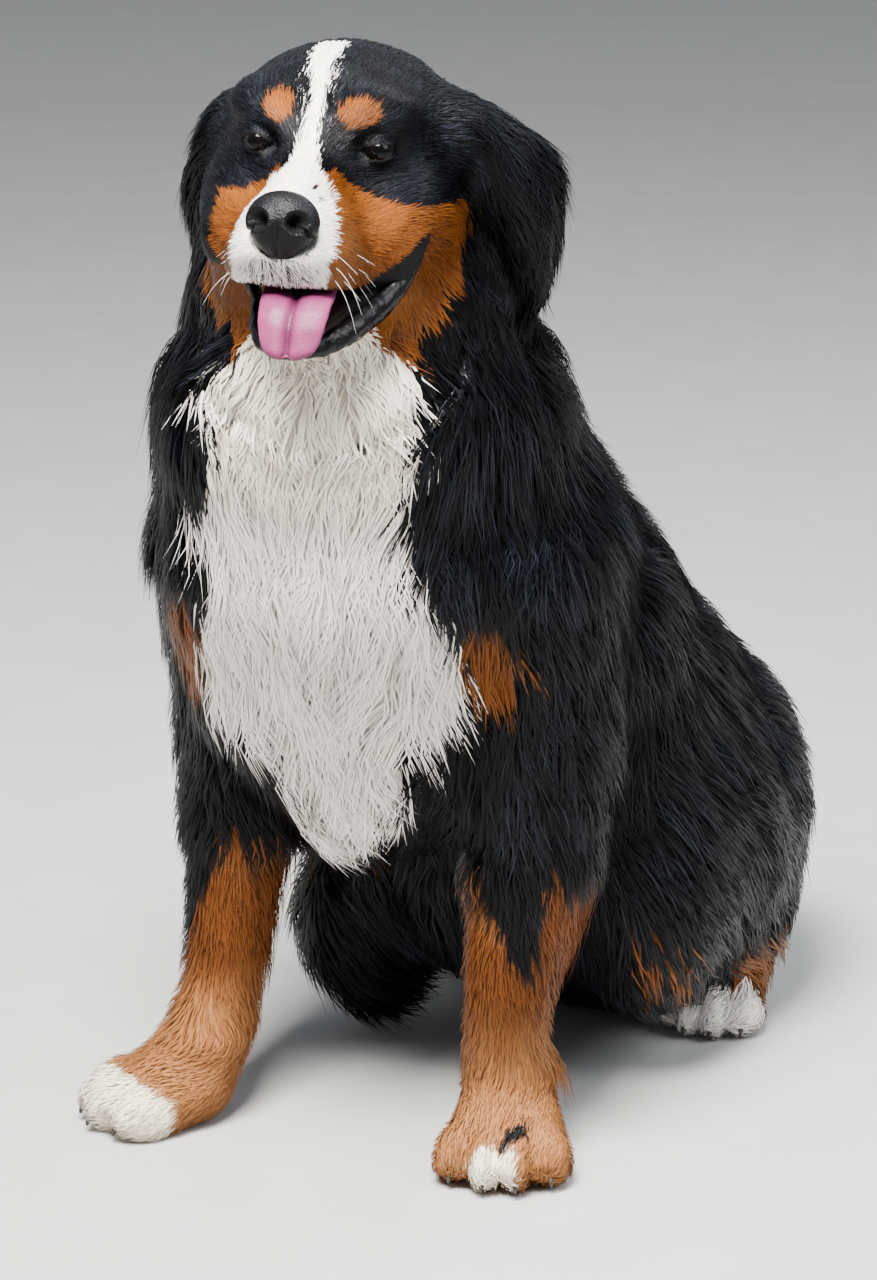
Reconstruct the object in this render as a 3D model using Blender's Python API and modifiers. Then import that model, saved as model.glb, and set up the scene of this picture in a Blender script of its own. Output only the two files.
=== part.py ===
"""A sitting Bernese mountain dog, life size, out to the tips of its coat.

Metres, +Z up, the floor at Z = 0, the origin under the middle of the dog. The dog
faces -Y and its left side is +X. Muscle masses are balls and tapering limbs, melted
into one body. Thin cuts then part it into the pieces that a person would name.
"""
import math

import bmesh
import bpy
from mathutils import Euler, Matrix, Vector

# Driving sizes. The masses are placed from a point on the floor under the loin.
FOOTPRINT_CENTRE = Vector((-0.064, 0.018, 0.0))
EYE_HEIGHT = 0.779
EYES_ACROSS = 0.086
EYES_MIDDLE = (0.002, -0.001, 0.0025)
EYE_RADIUS = 0.0115
MOUTH_CORNER = (0.0, 0.016, -0.0615)
JAW_DROP = 31.0
UPPER_LIP = ((0.016, -0.0610), (0.004, -0.0672), (-0.013, -0.0768), (-0.029, -0.0865),
             (-0.060, -0.0905), (-0.085, -0.0875), (-0.160, -0.0830))
LOWER_LIP = ((0.016, -0.0620), (0.004, -0.0705), (-0.013, -0.0840), (-0.029, -0.0960),
             (-0.060, -0.1140), (-0.160, -0.1640))
HEAD_TURN = 20.8
NOSE_UP = 3.5
HEAD_TILT = 2.3
CHEST_TURN = 15.0
WRIST = 0.075
ELBOW = 0.235
SHOULDER_TOP = 0.480
HIND_FOOT_TOP = 0.052
LEG_OUTSIDE = 0.300
PAW_SPREAD = 0.0233
TOES = (-1.5, -0.5, 0.5, 1.5)
CUT = 0.0006
SEAT_GAP = 0.0004
TONGUE_GAP = 0.0010
BELOW_FLOOR = -0.05
REACH = 0.40

# Fineness of the melted body.
VOXEL = 0.005
TONGUE_VOXEL = 0.0025
SOFT_ROUNDS = 26
FACE_ROUNDS = 9
CRISP_ROUNDS = 4
BODY_TRIANGLES = 3000
FACE_TRIANGLES = 5200
TONGUE_TRIANGLES = 240

BODY = Matrix.Translation(-FOOTPRINT_CENTRE)


def placed(point, turn=(0.0, 0.0, 0.0), frame=BODY):
    """A frame at a point, turned by degrees about X, then Y, then Z."""
    spin = Euler([math.radians(angle) for angle in turn]).to_matrix().to_4x4()
    return frame @ Matrix.Translation(Vector(point)) @ spin


HEAD = placed((0.010, -0.265, EYE_HEIGHT), (-NOSE_UP, HEAD_TILT, HEAD_TURN))
CHEST = placed((-0.033, -0.108, 0.0), (0.0, 0.0, CHEST_TURN))


def clear_scene():
    for thing in list(bpy.data.objects):
        bpy.data.objects.remove(thing, do_unlink=True)


def new_collection(name):
    group = bpy.data.collections.new(name)
    bpy.context.scene.collection.children.link(group)
    return group


clear_scene()
DOG = new_collection("bernese_mountain_dog")
CUTTERS = new_collection("cutters")


def finish(name, colour, roughness):
    made = bpy.data.materials.new(name)
    made.use_nodes = True
    shader = made.node_tree.nodes["Principled BSDF"]
    shader.inputs["Base Color"].default_value = (*colour, 1.0)
    shader.inputs["Roughness"].default_value = roughness
    shader.inputs["Metallic"].default_value = 0.0
    made.diffuse_color = (*colour, 1.0)
    return made


def to_workshop(thing):
    """A mass or a cutter is kept out of the finished dog."""
    for owner in list(thing.users_collection):
        owner.objects.unlink(thing)
    CUTTERS.objects.link(thing)
    thing.hide_render = True
    thing.display_type = "WIRE"
    return thing


def freeze(thing, name="shape"):
    """A plain welded mesh of the object as its modifiers leave it; the object itself goes."""
    bpy.context.view_layer.update()
    view = bpy.context.evaluated_depsgraph_get()
    mesh = bpy.data.meshes.new_from_object(thing.evaluated_get(view))
    mesh.transform(thing.matrix_world)
    bpy.data.objects.remove(thing, do_unlink=True)
    weld(mesh)
    made = bpy.data.objects.new(name, mesh)
    bpy.context.scene.collection.objects.link(made)
    return to_workshop(made)


def weld(mesh):
    shape = bmesh.new()
    shape.from_mesh(mesh)
    bmesh.ops.remove_doubles(shape, verts=shape.verts, dist=0.00002)
    bmesh.ops.dissolve_degenerate(shape, edges=shape.edges, dist=0.00002)
    shape.to_mesh(mesh)
    shape.free()


def ball(centre, radii, turn=(0.0, 0.0, 0.0), frame=BODY, segments=32):
    """An egg-shaped mass: radii along its own axes, turned by degrees about X, Y and Z."""
    bpy.ops.mesh.primitive_uv_sphere_add(segments=segments, ring_count=segments * 5 // 8, radius=1.0)
    egg = to_workshop(bpy.context.object)
    egg.data.transform(placed(centre, turn, frame) @ Matrix.Diagonal((*radii, 1.0)))
    return egg


def limb(points, radii, frame=BODY):
    """A tapering round limb through the points, with a ball on each end."""
    curve = bpy.data.curves.new("limb", "CURVE")
    curve.dimensions = "3D"
    curve.bevel_depth = 1.0
    curve.bevel_resolution = 6
    curve.use_fill_caps = True
    curve.resolution_u = 6
    spline = curve.splines.new("BEZIER")
    spline.bezier_points.add(len(points) - 1)
    for knot, point, radius in zip(spline.bezier_points, points, radii):
        knot.co = point
        knot.handle_left_type = knot.handle_right_type = "AUTO"
        knot.radius = radius
    wire = bpy.data.objects.new("limb", curve)
    bpy.context.scene.collection.objects.link(wire)
    tube = freeze(wire)
    tube.data.transform(frame)
    ends = [ball(points[end], [radii[end]] * 3, frame=frame) for end in (0, -1)]
    return [tube] + ends


def block(low, high, frame=BODY, grow=0.0):
    """A box between two corners of a frame, grown on every side."""
    bpy.ops.mesh.primitive_cube_add(size=1.0)
    box = to_workshop(bpy.context.object)
    low = Vector(low) - Vector((grow, grow, grow))
    high = Vector(high) + Vector((grow, grow, grow))
    size = high - low
    box.data.transform(frame @ Matrix.Translation((low + high) / 2) @ Matrix.Diagonal((*size, 1.0)))
    return box


def both_sides(maker):
    """The masses of the dog's left and right, made by maker(side) with side = +1 and -1."""
    return maker(1.0) + maker(-1.0)


def trunk_masses():
    return [
        ball((0.0, 0.0, 0.444), (0.190, 0.203, 0.160), frame=CHEST),
        ball((0.0, 0.0, 0.360), (0.168, 0.178, 0.150), frame=CHEST),
        ball((0.0, -0.080, 0.320), (0.080, 0.085, 0.112), (15, 0, 0), frame=CHEST),
        ball((-0.020, 0.022, 0.340), (0.162, 0.164, 0.158)),
        ball((-0.010, 0.095, 0.260), (0.160, 0.168, 0.156)),
        ball((0.000, 0.160, 0.178), (0.168, 0.188, 0.170)),
        ball((-0.010, 0.040, 0.200), (0.130, 0.150, 0.150)),
        ball((-0.030, -0.028, 0.440), (0.148, 0.132, 0.140)),
        ball((-0.136, -0.156, 0.450), (0.078, 0.085, 0.110)),
    ]


def neck_masses():
    masses = limb([(-0.022, -0.165, 0.745), (-0.035, -0.156, 0.640), (-0.035, -0.140, 0.530)],
                  [0.082, 0.140, 0.172])
    return masses + [ball((-0.035, -0.154, 0.560), (0.165, 0.165, 0.140), (0, 0, CHEST_TURN))]


def haunch(side):
    knee = (0.112, 0.045, 0.135) if side > 0 else (-0.127, -0.006, 0.110)
    return [
        ball((side * 0.104, 0.120, 0.172), (0.072, 0.142, 0.128), (-12, 0, 0)),
        ball(knee, (0.066, 0.088, 0.096)),
        ball((side * 0.055, 0.205, 0.108), (0.100, 0.100, 0.098)),
    ]


def hind_foot(side):
    metatarsus = limb([(side * 0.088, 0.205, 0.050), (side * 0.098, 0.160, 0.036)], [0.034, 0.031])
    return metatarsus + paw((side * 0.092, 0.195, 0.0), side * 14.0, 0.92)


def paw(heel, outward, size):
    """Pad, knuckles and four toes; outward is the angle in degrees that the foot turns out."""
    frame = placed(heel, (0.0, 0.0, outward)) @ Matrix.Scale(size, 4)
    masses = [ball((0.0, -0.020, 0.031), (0.044, 0.046, 0.034), frame=frame)]
    for toe in TOES:
        ahead = -0.065 + 0.007 * toe * toe
        middle = (PAW_SPREAD * toe, ahead, 0.021)
        masses.append(ball(middle, (0.0168, 0.034, 0.0235), (0, 0, 8 * toe), frame))
    return masses


def front_leg(shoulder, elbow, carpus, heel, outward, forearm_radius):
    middle = [(a + b) / 2 for a, b in zip(elbow, carpus)]
    bones = limb([shoulder, elbow, middle, carpus, (heel[0], heel[1], 0.060)],
                 [0.070, 0.064, forearm_radius, 0.037, 0.040])
    return [ball(shoulder, (0.070, 0.095, 0.130), (15, 0, CHEST_TURN))] + bones + paw(heel, outward, 1.04)


def tail_masses():
    return limb([(0.010, 0.285, 0.150), (-0.040, 0.345, 0.070), (-0.120, 0.365, 0.052),
                 (-0.200, 0.332, 0.052), (-0.262, 0.265, 0.046), (-0.298, 0.195, 0.028)],
                [0.080, 0.062, 0.056, 0.056, 0.046, 0.022])


def head_masses():
    masses = [
        ball((0.0, 0.080, 0.000), (0.088, 0.106, 0.073), frame=HEAD),
        ball((0.002, -0.046, -0.058), (0.046, 0.070, 0.040), (6, 0, 0), frame=HEAD),
        ball((0.0, 0.060, -0.084), (0.092, 0.090, 0.084), frame=HEAD),
    ]
    masses += limb([(0.0, 0.020, -0.020), (0.001, -0.040, -0.032), (0.003, -0.092, -0.045)],
                   [0.032, 0.027, 0.021], frame=HEAD)
    for side in (1.0, -1.0):
        masses += [
            ball((side * 0.036, 0.020, 0.029), (0.038, 0.036, 0.025), frame=HEAD),
            ball((side * 0.057, 0.050, -0.047), (0.041, 0.062, 0.054), frame=HEAD),
            ball((side * 0.050, 0.014, -0.066), (0.036, 0.050, 0.040), frame=HEAD),
            ball((side * 0.034, -0.034, -0.078), (0.022, 0.042, 0.022), frame=HEAD),
            ball((0.002 + side * 0.024, -0.058, -0.070), (0.026, 0.046, 0.028), frame=HEAD),
        ]
    return masses


def jaw_masses():
    return limb([(0.0, 0.050, -0.090), (0.0, -0.010, -0.108), (0.0, -0.064, -0.122)],
                [0.070, 0.050, 0.030], frame=HEAD)


def ear_masses(side):
    """The left ear stands out from the head and ends in a short tip; the right one lies close."""
    if side < 0:
        return [
            ball((-0.085, 0.092, 0.004), (0.027, 0.042, 0.036), (0, 30, 0), frame=HEAD),
            ball((-0.100, 0.098, -0.030), (0.024, 0.040, 0.046), (0, 12, 0), frame=HEAD),
            ball((-0.101, 0.100, -0.064), (0.020, 0.034, 0.044), frame=HEAD),
        ]
    return [
        ball((0.088, 0.092, 0.006), (0.032, 0.042, 0.038), (0, -30, 0), frame=HEAD),
        ball((0.124, 0.100, -0.022), (0.035, 0.040, 0.046), (0, -14, 0), frame=HEAD),
        ball((0.136, 0.102, -0.056), (0.027, 0.036, 0.040), frame=HEAD),
        ball((0.141, 0.102, -0.090), (0.015, 0.024, 0.030), frame=HEAD),
    ]


def melt(masses, rounds, voxel=VOXEL):
    """One closed body from all the masses, softened by the wanted rounds of smoothing."""
    bpy.ops.object.select_all(action="DESELECT")
    for mass in masses:
        mass.select_set(True)
    bpy.context.view_layer.objects.active = masses[0]
    bpy.ops.object.join()
    lump = bpy.context.object
    voxels = lump.modifiers.new("melt", "REMESH")
    voxels.mode = "VOXEL"
    voxels.voxel_size = voxel
    softened = lump.modifiers.new("soften", "SMOOTH")
    softened.factor = 0.5
    softened.iterations = rounds
    return freeze(lump)


def facet(lump, triangles):
    """Brings a melted body down to about the wanted number of triangles."""
    faces = lump.modifiers.new("facets", "DECIMATE")
    faces.ratio = triangles / sum(len(face.vertices) - 2 for face in lump.data.polygons)
    return freeze(lump)


def combine(thing, other, operation):
    """The object after a Boolean with the other, which goes."""
    cut = thing.modifiers.new("cut", "BOOLEAN")
    cut.operation = operation
    cut.solver = "EXACT"
    cut.object = other
    result = freeze(thing)
    bpy.data.objects.remove(other, do_unlink=True)
    return result


def copy_of(thing):
    twin = bpy.data.objects.new("copy", thing.data.copy())
    bpy.context.scene.collection.objects.link(twin)
    return to_workshop(twin)


def keep(thing, name, material):
    """Moves a finished piece out of the workshop and gives it its name and finish."""
    CUTTERS.objects.unlink(thing)
    DOG.objects.link(thing)
    thing.hide_render = False
    thing.display_type = "TEXTURED"
    thing.name = name
    thing.data.name = name
    thing.data.materials.clear()
    thing.data.materials.append(material)
    thing.data.shade_smooth()
    return thing


def part_off(rest, name, material, low, high, frame=BODY):
    """Parts the piece inside a box from the rest of the dog, a hair apart."""
    piece = combine(copy_of(rest), block(low, high, frame), "INTERSECT")
    rest = combine(rest, block(low, high, frame, grow=CUT), "DIFFERENCE")
    keep(piece, name, material)
    return rest, piece


BLACK_FUR = finish("black_fur", (0.012, 0.012, 0.015), 0.55)
WHITE_FUR = finish("white_fur", (0.78, 0.75, 0.70), 0.65)
RUST_FUR = finish("rust_fur", (0.42, 0.15, 0.04), 0.60)
NOSE_LEATHER = finish("nose_leather", (0.012, 0.011, 0.012), 0.35)
TONGUE_FLESH = finish("tongue_flesh", (0.62, 0.22, 0.30), 0.30)
EYE_BROWN = finish("eye_brown", (0.030, 0.014, 0.008), 0.08)


def dog_lump():
    body = trunk_masses() + neck_masses() + both_sides(haunch)
    body = [melt(body, SOFT_ROUNDS)]
    left_leg = front_leg((0.095, -0.105, 0.390), (0.116, -0.125, 0.285), (0.108, -0.165, 0.110),
                         (0.108, -0.160, 0.0), 28.0, 0.050)
    right_leg = front_leg((-0.135, -0.155, 0.390), (-0.135, -0.165, 0.285), (-0.130, -0.208, 0.100),
                          (-0.130, -0.232, 0.0), -40.0, 0.043)
    face = [melt(head_masses() + jaw_masses(), FACE_ROUNDS)]
    fine = both_sides(hind_foot) + tail_masses() + face + both_sides(ear_masses)
    return melt(body + left_leg + right_leg + fine, CRISP_ROUNDS)


def mouth_opening():
    """A wedge between the lines of the lips, through the head from side to side."""
    outline = UPPER_LIP + LOWER_LIP[::-1]
    shape = bmesh.new()
    left, right = ([shape.verts.new(HEAD @ Vector((x, y, z))) for y, z in outline] for x in (0.10, -0.10))
    shape.faces.new(left)
    shape.faces.new(right[::-1])
    for here in range(len(outline)):
        after = (here + 1) % len(outline)
        shape.faces.new((left[here], right[here], right[after], left[after]))
    bmesh.ops.recalc_face_normals(shape, faces=shape.faces)
    mesh = bpy.data.meshes.new("mouth")
    shape.to_mesh(mesh)
    shape.free()
    wedge = bpy.data.objects.new("mouth", mesh)
    bpy.context.scene.collection.objects.link(wedge)
    return to_workshop(wedge)


def tongue(grow=0.0):
    """Flat and broad, out over the lower lip and down to a rounded tip."""
    broad = Matrix.Diagonal((4.4, 1.0, 1.0, 1.0))
    line = [(0.0015, -0.010, -0.076), (0.0015, -0.066, -0.095),
            (0.0018, -0.100, -0.106), (0.0018, -0.112, -0.132)]
    body = limb(line, [0.0060 + grow, 0.0068 + grow, 0.0066 + grow, 0.0058 + grow], HEAD @ broad)
    return facet(melt(body, 4, TONGUE_VOXEL), TONGUE_TRIANGLES)


def nose(grow=0.0):
    return ball((0.0045, -0.104, -0.0425), (0.027 + grow, 0.018 + grow, 0.021 + grow), (-8, 0, 0), HEAD, 16)


def eye(side, grow=0.0):
    radius = EYE_RADIUS + grow
    middle = Vector(EYES_MIDDLE) + Vector((side * EYES_ACROSS / 2, 0.0, 0.0))
    return ball(middle, (radius, radius, radius), frame=HEAD, segments=14)


def socket(side):
    """The hollow between brow and cheek that the eye looks out of."""
    middle = Vector(EYES_MIDDLE) + Vector((side * EYES_ACROSS / 2, -0.016, 0.0))
    return ball(middle, (0.017, 0.016, 0.012), frame=HEAD, segments=14)


def split_face(head):
    """The jaw, tongue, nose and eyes are parted from the head."""
    head = combine(head, mouth_opening(), "DIFFERENCE")
    for seat in (tongue(TONGUE_GAP), nose(SEAT_GAP)):
        head = combine(head, seat, "DIFFERENCE")
    for side in (1.0, -1.0):
        head = combine(head, socket(side), "DIFFERENCE")
        head = combine(head, eye(side, SEAT_GAP), "DIFFERENCE")
    hinge = placed(MOUTH_CORNER, (JAW_DROP, 0.0, 0.0), HEAD)
    head, _ = part_off(head, "lower_jaw", WHITE_FUR, (-0.080, -0.20, -0.085), (0.080, 0.0, 0.0), hinge)
    keep(head, "head", BLACK_FUR)
    keep(tongue(), "tongue", TONGUE_FLESH)
    keep(nose(), "nose", NOSE_LEATHER)
    keep(eye(1.0), "eye_left", EYE_BROWN)
    keep(eye(-1.0), "eye_right", EYE_BROWN)


def split_legs(dog):
    """Each leg is parted into its upper arm or thigh, its forearm and its paw."""
    for side, word, elbow_back in ((1.0, "left", -0.052), (-1.0, "right", -0.094)):
        for name, finish_of, inside, back, level, frame in (
                ("front_paw_", WHITE_FUR, 0.050, (-REACH, elbow_back), (BELOW_FLOOR, WRIST), BODY),
                ("forearm_", RUST_FUR, 0.050, (-REACH, elbow_back), (WRIST, ELBOW), BODY),
                ("upper_arm_", BLACK_FUR, 0.100, (-0.25, 0.070), (ELBOW, SHOULDER_TOP), CHEST),
                ("hind_foot_", WHITE_FUR, 0.050, (0.095, 0.235), (BELOW_FLOOR, HIND_FOOT_TOP), BODY),
                ("thigh_", BLACK_FUR, 0.045, (elbow_back, 0.250), (BELOW_FLOOR, ELBOW), BODY)):
            near, far = sorted((side * inside, side * LEG_OUTSIDE))
            low = (near, back[0], level[0])
            high = (far, back[1], level[1])
            dog, _ = part_off(dog, name + word, finish_of, low, high, frame)
    return dog


def split_tail(dog):
    """The tail lies round the dog's right haunch, in two lengths."""
    bend = placed((-0.180, 0.335, 0.050), (0.0, 0.0, 39.0))
    dog, _ = part_off(dog, "tail_tip", BLACK_FUR, (-0.25, -0.068, -0.10), (0.0, 0.10, 0.08), bend)
    root = placed((-0.010, 0.310, 0.110), (-25.0, 0.0, 0.0))
    dog, _ = part_off(dog, "tail_root", BLACK_FUR, (-0.30, 0.0, -0.20), (0.20, 0.25, 0.30), root)
    return dog


def split_trunk(dog):
    """Neck, chest, belly and rump along the back."""
    for name, finish_of, point, turn in (
            ("neck", BLACK_FUR, (-0.035, -0.120, 0.555), (14.0, 0.0, CHEST_TURN)),
            ("chest", WHITE_FUR, (-0.020, 0.000, 0.400), (52.0, 0.0, 0.0)),
            ("belly", BLACK_FUR, (-0.010, 0.115, 0.220), (52.0, 0.0, 0.0))):
        level = placed(point, turn)
        dog, _ = part_off(dog, name, finish_of, (-REACH, -REACH, 0.0), (REACH, REACH, REACH), level)
    keep(dog, "rump", BLACK_FUR)


def split_head(lump):
    """Ears and head come from finer facets than the body; both are cut by the same boxes."""
    face = facet(copy_of(lump), FACE_TRIANGLES)
    body = facet(lump, BODY_TRIANGLES)
    nape = placed((0.0, 0.075, -0.105), (48.0, 0.0, 0.0), HEAD)
    for name, low, high, frame in (
            ("ear_left", (0.084, 0.056, -0.130), (0.20, 0.165, 0.075), HEAD),
            ("ear_right", (-0.20, 0.056, -0.130), (-0.084, 0.165, 0.075), HEAD),
            ("head", (-REACH, -REACH, 0.0), (REACH, REACH, REACH), nape)):
        face, piece = part_off(face, name, BLACK_FUR, low, high, frame)
        body = combine(body, block(low, high, frame, grow=CUT), "DIFFERENCE")
    bpy.data.objects.remove(face, do_unlink=True)
    return piece, body


def main():
    head, body = split_head(dog_lump())
    split_face(head)
    floor = block((-2 * REACH, -2 * REACH, BELOW_FLOOR), (2 * REACH, 2 * REACH, 0.0))
    split_trunk(split_legs(split_tail(combine(body, floor, "DIFFERENCE"))))


main()
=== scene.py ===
"""The looks of a sitting Bernese mountain dog.

One skin lies inside the solids by the depth of the coat. A tree of Geometry Nodes roots tufts of
hair on that skin, combs them along the lie of the coat and bends them round the body. Eyes, nose,
tongue, lips, claws and whiskers are pieces of their own.
"""

import math

import bmesh
import bpy
import numpy as np
from mathutils import Euler, Matrix, Vector
from mathutils.bvhtree import BVHTree
from mathutils.kdtree import KDTree


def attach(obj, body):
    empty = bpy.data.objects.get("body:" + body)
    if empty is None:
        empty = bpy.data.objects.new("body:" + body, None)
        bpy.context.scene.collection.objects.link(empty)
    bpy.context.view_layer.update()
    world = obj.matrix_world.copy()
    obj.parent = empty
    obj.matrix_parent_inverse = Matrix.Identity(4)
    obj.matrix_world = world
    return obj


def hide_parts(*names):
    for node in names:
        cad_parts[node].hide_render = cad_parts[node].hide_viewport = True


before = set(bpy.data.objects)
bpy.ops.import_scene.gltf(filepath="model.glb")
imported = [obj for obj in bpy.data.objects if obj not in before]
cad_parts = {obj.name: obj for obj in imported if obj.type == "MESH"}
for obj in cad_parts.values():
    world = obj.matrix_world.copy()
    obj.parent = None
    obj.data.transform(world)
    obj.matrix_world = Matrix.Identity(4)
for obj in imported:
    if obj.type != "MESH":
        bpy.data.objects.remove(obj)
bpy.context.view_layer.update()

# Where the dog stands in its frame, in metres: +Z up, -Y ahead, +X the dog's left.
FOOTPRINT_CENTRE = Vector((-0.064, 0.018, 0.0))
EYE_HEIGHT = 0.779
EYE_SIDE = 0.043
EYES_MIDDLE = Vector((0.002, -0.001, 0.0025))
EYE_RADIUS = 0.0115
NOSE_MIDDLE = Vector((0.0045, -0.104, -0.0425))

# The photographer: degrees round from the dog's front to its left and above the level, metres away.
CAMERA_TURN = 34.0
CAMERA_RISE = 16.0
CAMERA_DISTANCE = 3.2
CAMERA_AIM = Vector((0.002, -0.100, 0.376)) - FOOTPRINT_CENTRE
LENS = 117.3
SENSOR = 36.0

# Fineness of the skin, rounds of softening for its shape and for its coat, how low skin and hair reach.
SKIN_VOXEL = 0.005
SKIN_SWELL = 0.0008
SKIN_ROUNDS = 36
COAT_ROUNDS = 14
LOWEST_SKIN = 0.0010
LOWEST_HAIR = 0.0007
SKIN_TRIANGLES = 192000
SEED = 41

EYES = ["eye_left", "eye_right"]
FLESH = sorted(set(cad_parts) - {*EYES, "nose", "tongue"})

BODY = Matrix.Translation(-FOOTPRINT_CENTRE)


def placed(point, turn=(0.0, 0.0, 0.0), inside=BODY):
    """A frame at a point, turned by degrees about X, then Y, then Z."""
    spin = Euler([math.radians(angle) for angle in turn]).to_matrix().to_4x4()
    return inside @ Matrix.Translation(Vector(point)) @ spin


HEAD = placed((0.010, -0.265, EYE_HEIGHT), (-3.5, 2.3, 20.8))
CHEST = placed((-0.033, -0.108, 0.0), (0.0, 0.0, 15.0))


# Arrays of points

def rows_of(items, name, width=3, kind=np.float32):
    """One value of each item, a row for each."""
    flat = np.empty(len(items) * width, kind)
    items.foreach_get(name, flat)
    return flat.reshape(-1, width)


def points_of(mesh):
    return rows_of(mesh.vertices, "co").astype(np.float64)


def put_points(mesh, points):
    mesh.vertices.foreach_set("co", np.ascontiguousarray(points, np.float32).ravel())
    mesh.update()


def normals_of(mesh):
    return rows_of(mesh.vertex_normals, "vector").astype(np.float64)


def edges_of(mesh):
    return rows_of(mesh.edges, "vertices", 2, np.int32)


def seen_from(points, place):
    """World points as a frame sees them."""
    back = np.array(place.inverted())
    return points @ back[:3, :3].T + back[:3, 3]


def turned_by(vectors, place):
    return vectors @ np.array(place)[:3, :3].T


def unit(vectors):
    length = np.linalg.norm(vectors, axis=-1, keepdims=True)
    return vectors / np.maximum(length, 1e-9)


def ramp(values, low, high):
    """0 below low, 1 above high and smooth between; low may be the larger."""
    t = np.clip((values - low) / (high - low), 0.0, 1.0)
    return t * t * (3.0 - 2.0 * t)


def hill(*steps):
    """1 where every step is 0, and less the farther the steps are from it."""
    return np.exp(-sum(step ** 2 for step in steps))


def blur(values, edges, rounds, strength=0.5):
    """Values on the points of a mesh, averaged with their neighbours again and again."""
    values = np.array(values, float)
    wide = values if values.ndim > 1 else values[:, None]
    one, other = edges[:, 0], edges[:, 1]
    count = len(wide)
    degree = np.bincount(one, minlength=count) + np.bincount(other, minlength=count)
    degree = np.maximum(degree, 1)
    strength = np.broadcast_to(strength, (count,))
    for _ in range(rounds):
        for column in range(wide.shape[1]):
            held = wide[:, column]
            total = np.bincount(one, held[other], count) + np.bincount(other, held[one], count)
            wide[:, column] = held + strength * (total / degree - held)
    return wide if values.ndim > 1 else wide[:, 0]


def ripple(points, size, seed=0.0):
    """A smooth wandering value from -1 to 1, about size metres from crest to crest."""
    x, y, z = (points * (2 * math.pi / size)).T
    first = np.sin(x + 1.7 * np.sin(0.6 * y + seed) + 0.8 * z)
    second = np.sin(1.3 * y - 0.9 * z + 1.5 * np.sin(0.7 * x + 2.1 + seed))
    third = np.sin(1.1 * z + 0.7 * x - 1.3 * np.sin(0.8 * y + 4.0 + seed))
    return (first + second + third) / 3.0


def store(mesh, name, values, domain="POINT"):
    """Puts values on a mesh under a name, for the node trees."""
    whole = values.dtype.kind == "i"
    values = np.ascontiguousarray(values, np.int32 if whole else np.float32)
    kind = "INT" if whole else "FLOAT_VECTOR" if values.ndim > 1 else "FLOAT"
    attribute = mesh.attributes.new(name, kind, domain)
    attribute.data.foreach_set("vector" if values.ndim > 1 else "value", values.ravel())


def stored(mesh, name):
    """The values that store put on a mesh's points."""
    held = mesh.attributes[name]
    if held.data_type == "FLOAT_VECTOR":
        return rows_of(held.data, "vector")
    return rows_of(held.data, "value", 1)[:, 0]


def without(mesh, names):
    """Drops the named values from a mesh."""
    for name in names:
        if name in mesh.attributes:
            mesh.attributes.remove(mesh.attributes[name])


# Objects

def add_object(mesh, name):
    thing = bpy.data.objects.new(name, mesh)
    bpy.context.scene.collection.objects.link(thing)
    return thing


def frozen(thing):
    """The object's mesh as its modifiers leave it; the object goes."""
    bpy.context.view_layer.update()
    view = bpy.context.evaluated_depsgraph_get()
    mesh = bpy.data.meshes.new_from_object(thing.evaluated_get(view))
    bpy.data.objects.remove(thing, do_unlink=True)
    return mesh


def reshaped(mesh, modifier, settings):
    """The mesh as a modifier with these settings leaves it."""
    holder = add_object(mesh, "holder")
    change = holder.modifiers.new("change", modifier)
    for name, value in settings.items():
        setattr(change, name, value)
    return frozen(holder)


def mesh_of(shape, name):
    """A mesh with the points and faces of an edit mesh, which goes."""
    mesh = bpy.data.meshes.new(name)
    shape.to_mesh(mesh)
    shape.free()
    return mesh


def joined(shapes, name):
    """Several edit meshes as one mesh; they go."""
    together = bmesh.new()
    for shape in shapes:
        loose = mesh_of(shape, "loose")
        together.from_mesh(loose)
        bpy.data.meshes.remove(loose)
    return mesh_of(together, name)


def cad_copy(node, swell=0.0):
    """The merged mesh of a CAD node, moved out by swell."""
    shape = bmesh.new()
    shape.from_mesh(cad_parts[node].data)
    bmesh.ops.remove_doubles(shape, verts=shape.verts, dist=0.00001)
    shape.normal_update()
    for vertex in shape.verts:
        vertex.co += vertex.normal * swell
    return shape


def thinned(mesh, most, names):
    """The mesh in no more triangles than most; each point takes the named values of the nearest old one."""
    old = KDTree(len(mesh.vertices))
    for number, vertex in enumerate(mesh.vertices):
        old.insert(vertex.co, number)
    old.balance()
    now = sum(len(face.vertices) - 2 for face in mesh.polygons)
    less = reshaped(mesh, "DECIMATE", {"ratio": most / now})
    nearest = [old.find(vertex.co)[1] for vertex in less.vertices]
    without(less, names)
    for name in names:
        store(less, name, stored(mesh, name)[nearest])
    return less


def melted(shapes, voxel):
    """One mesh round several closed shapes."""
    return reshaped(joined(shapes, "lump"), "REMESH", {"mode": "VOXEL", "voxel_size": voxel})


def smooth(mesh):
    mesh.polygons.foreach_set("use_smooth", np.ones(len(mesh.polygons), bool))
    mesh.update()


def present(mesh, name, material, replaced=()):
    """A finished piece of the dog."""
    mesh.name = name
    mesh.materials.clear()
    mesh.materials.append(material)
    piece = add_object(mesh, name)
    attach(piece, "root")
    if replaced:
        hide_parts(*replaced)
    return piece


# Node trees as expressions

def is_vector(value):
    return isinstance(value, Vector) or isinstance(value, Term) and value.socket.type == "VECTOR"


def operator(operation, turned=False):
    """A method of Term that joins it with another value, which comes first if turned."""
    def method(self, other):
        return self.joined(operation, *((other, self) if turned else (self, other)))
    return method


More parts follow.
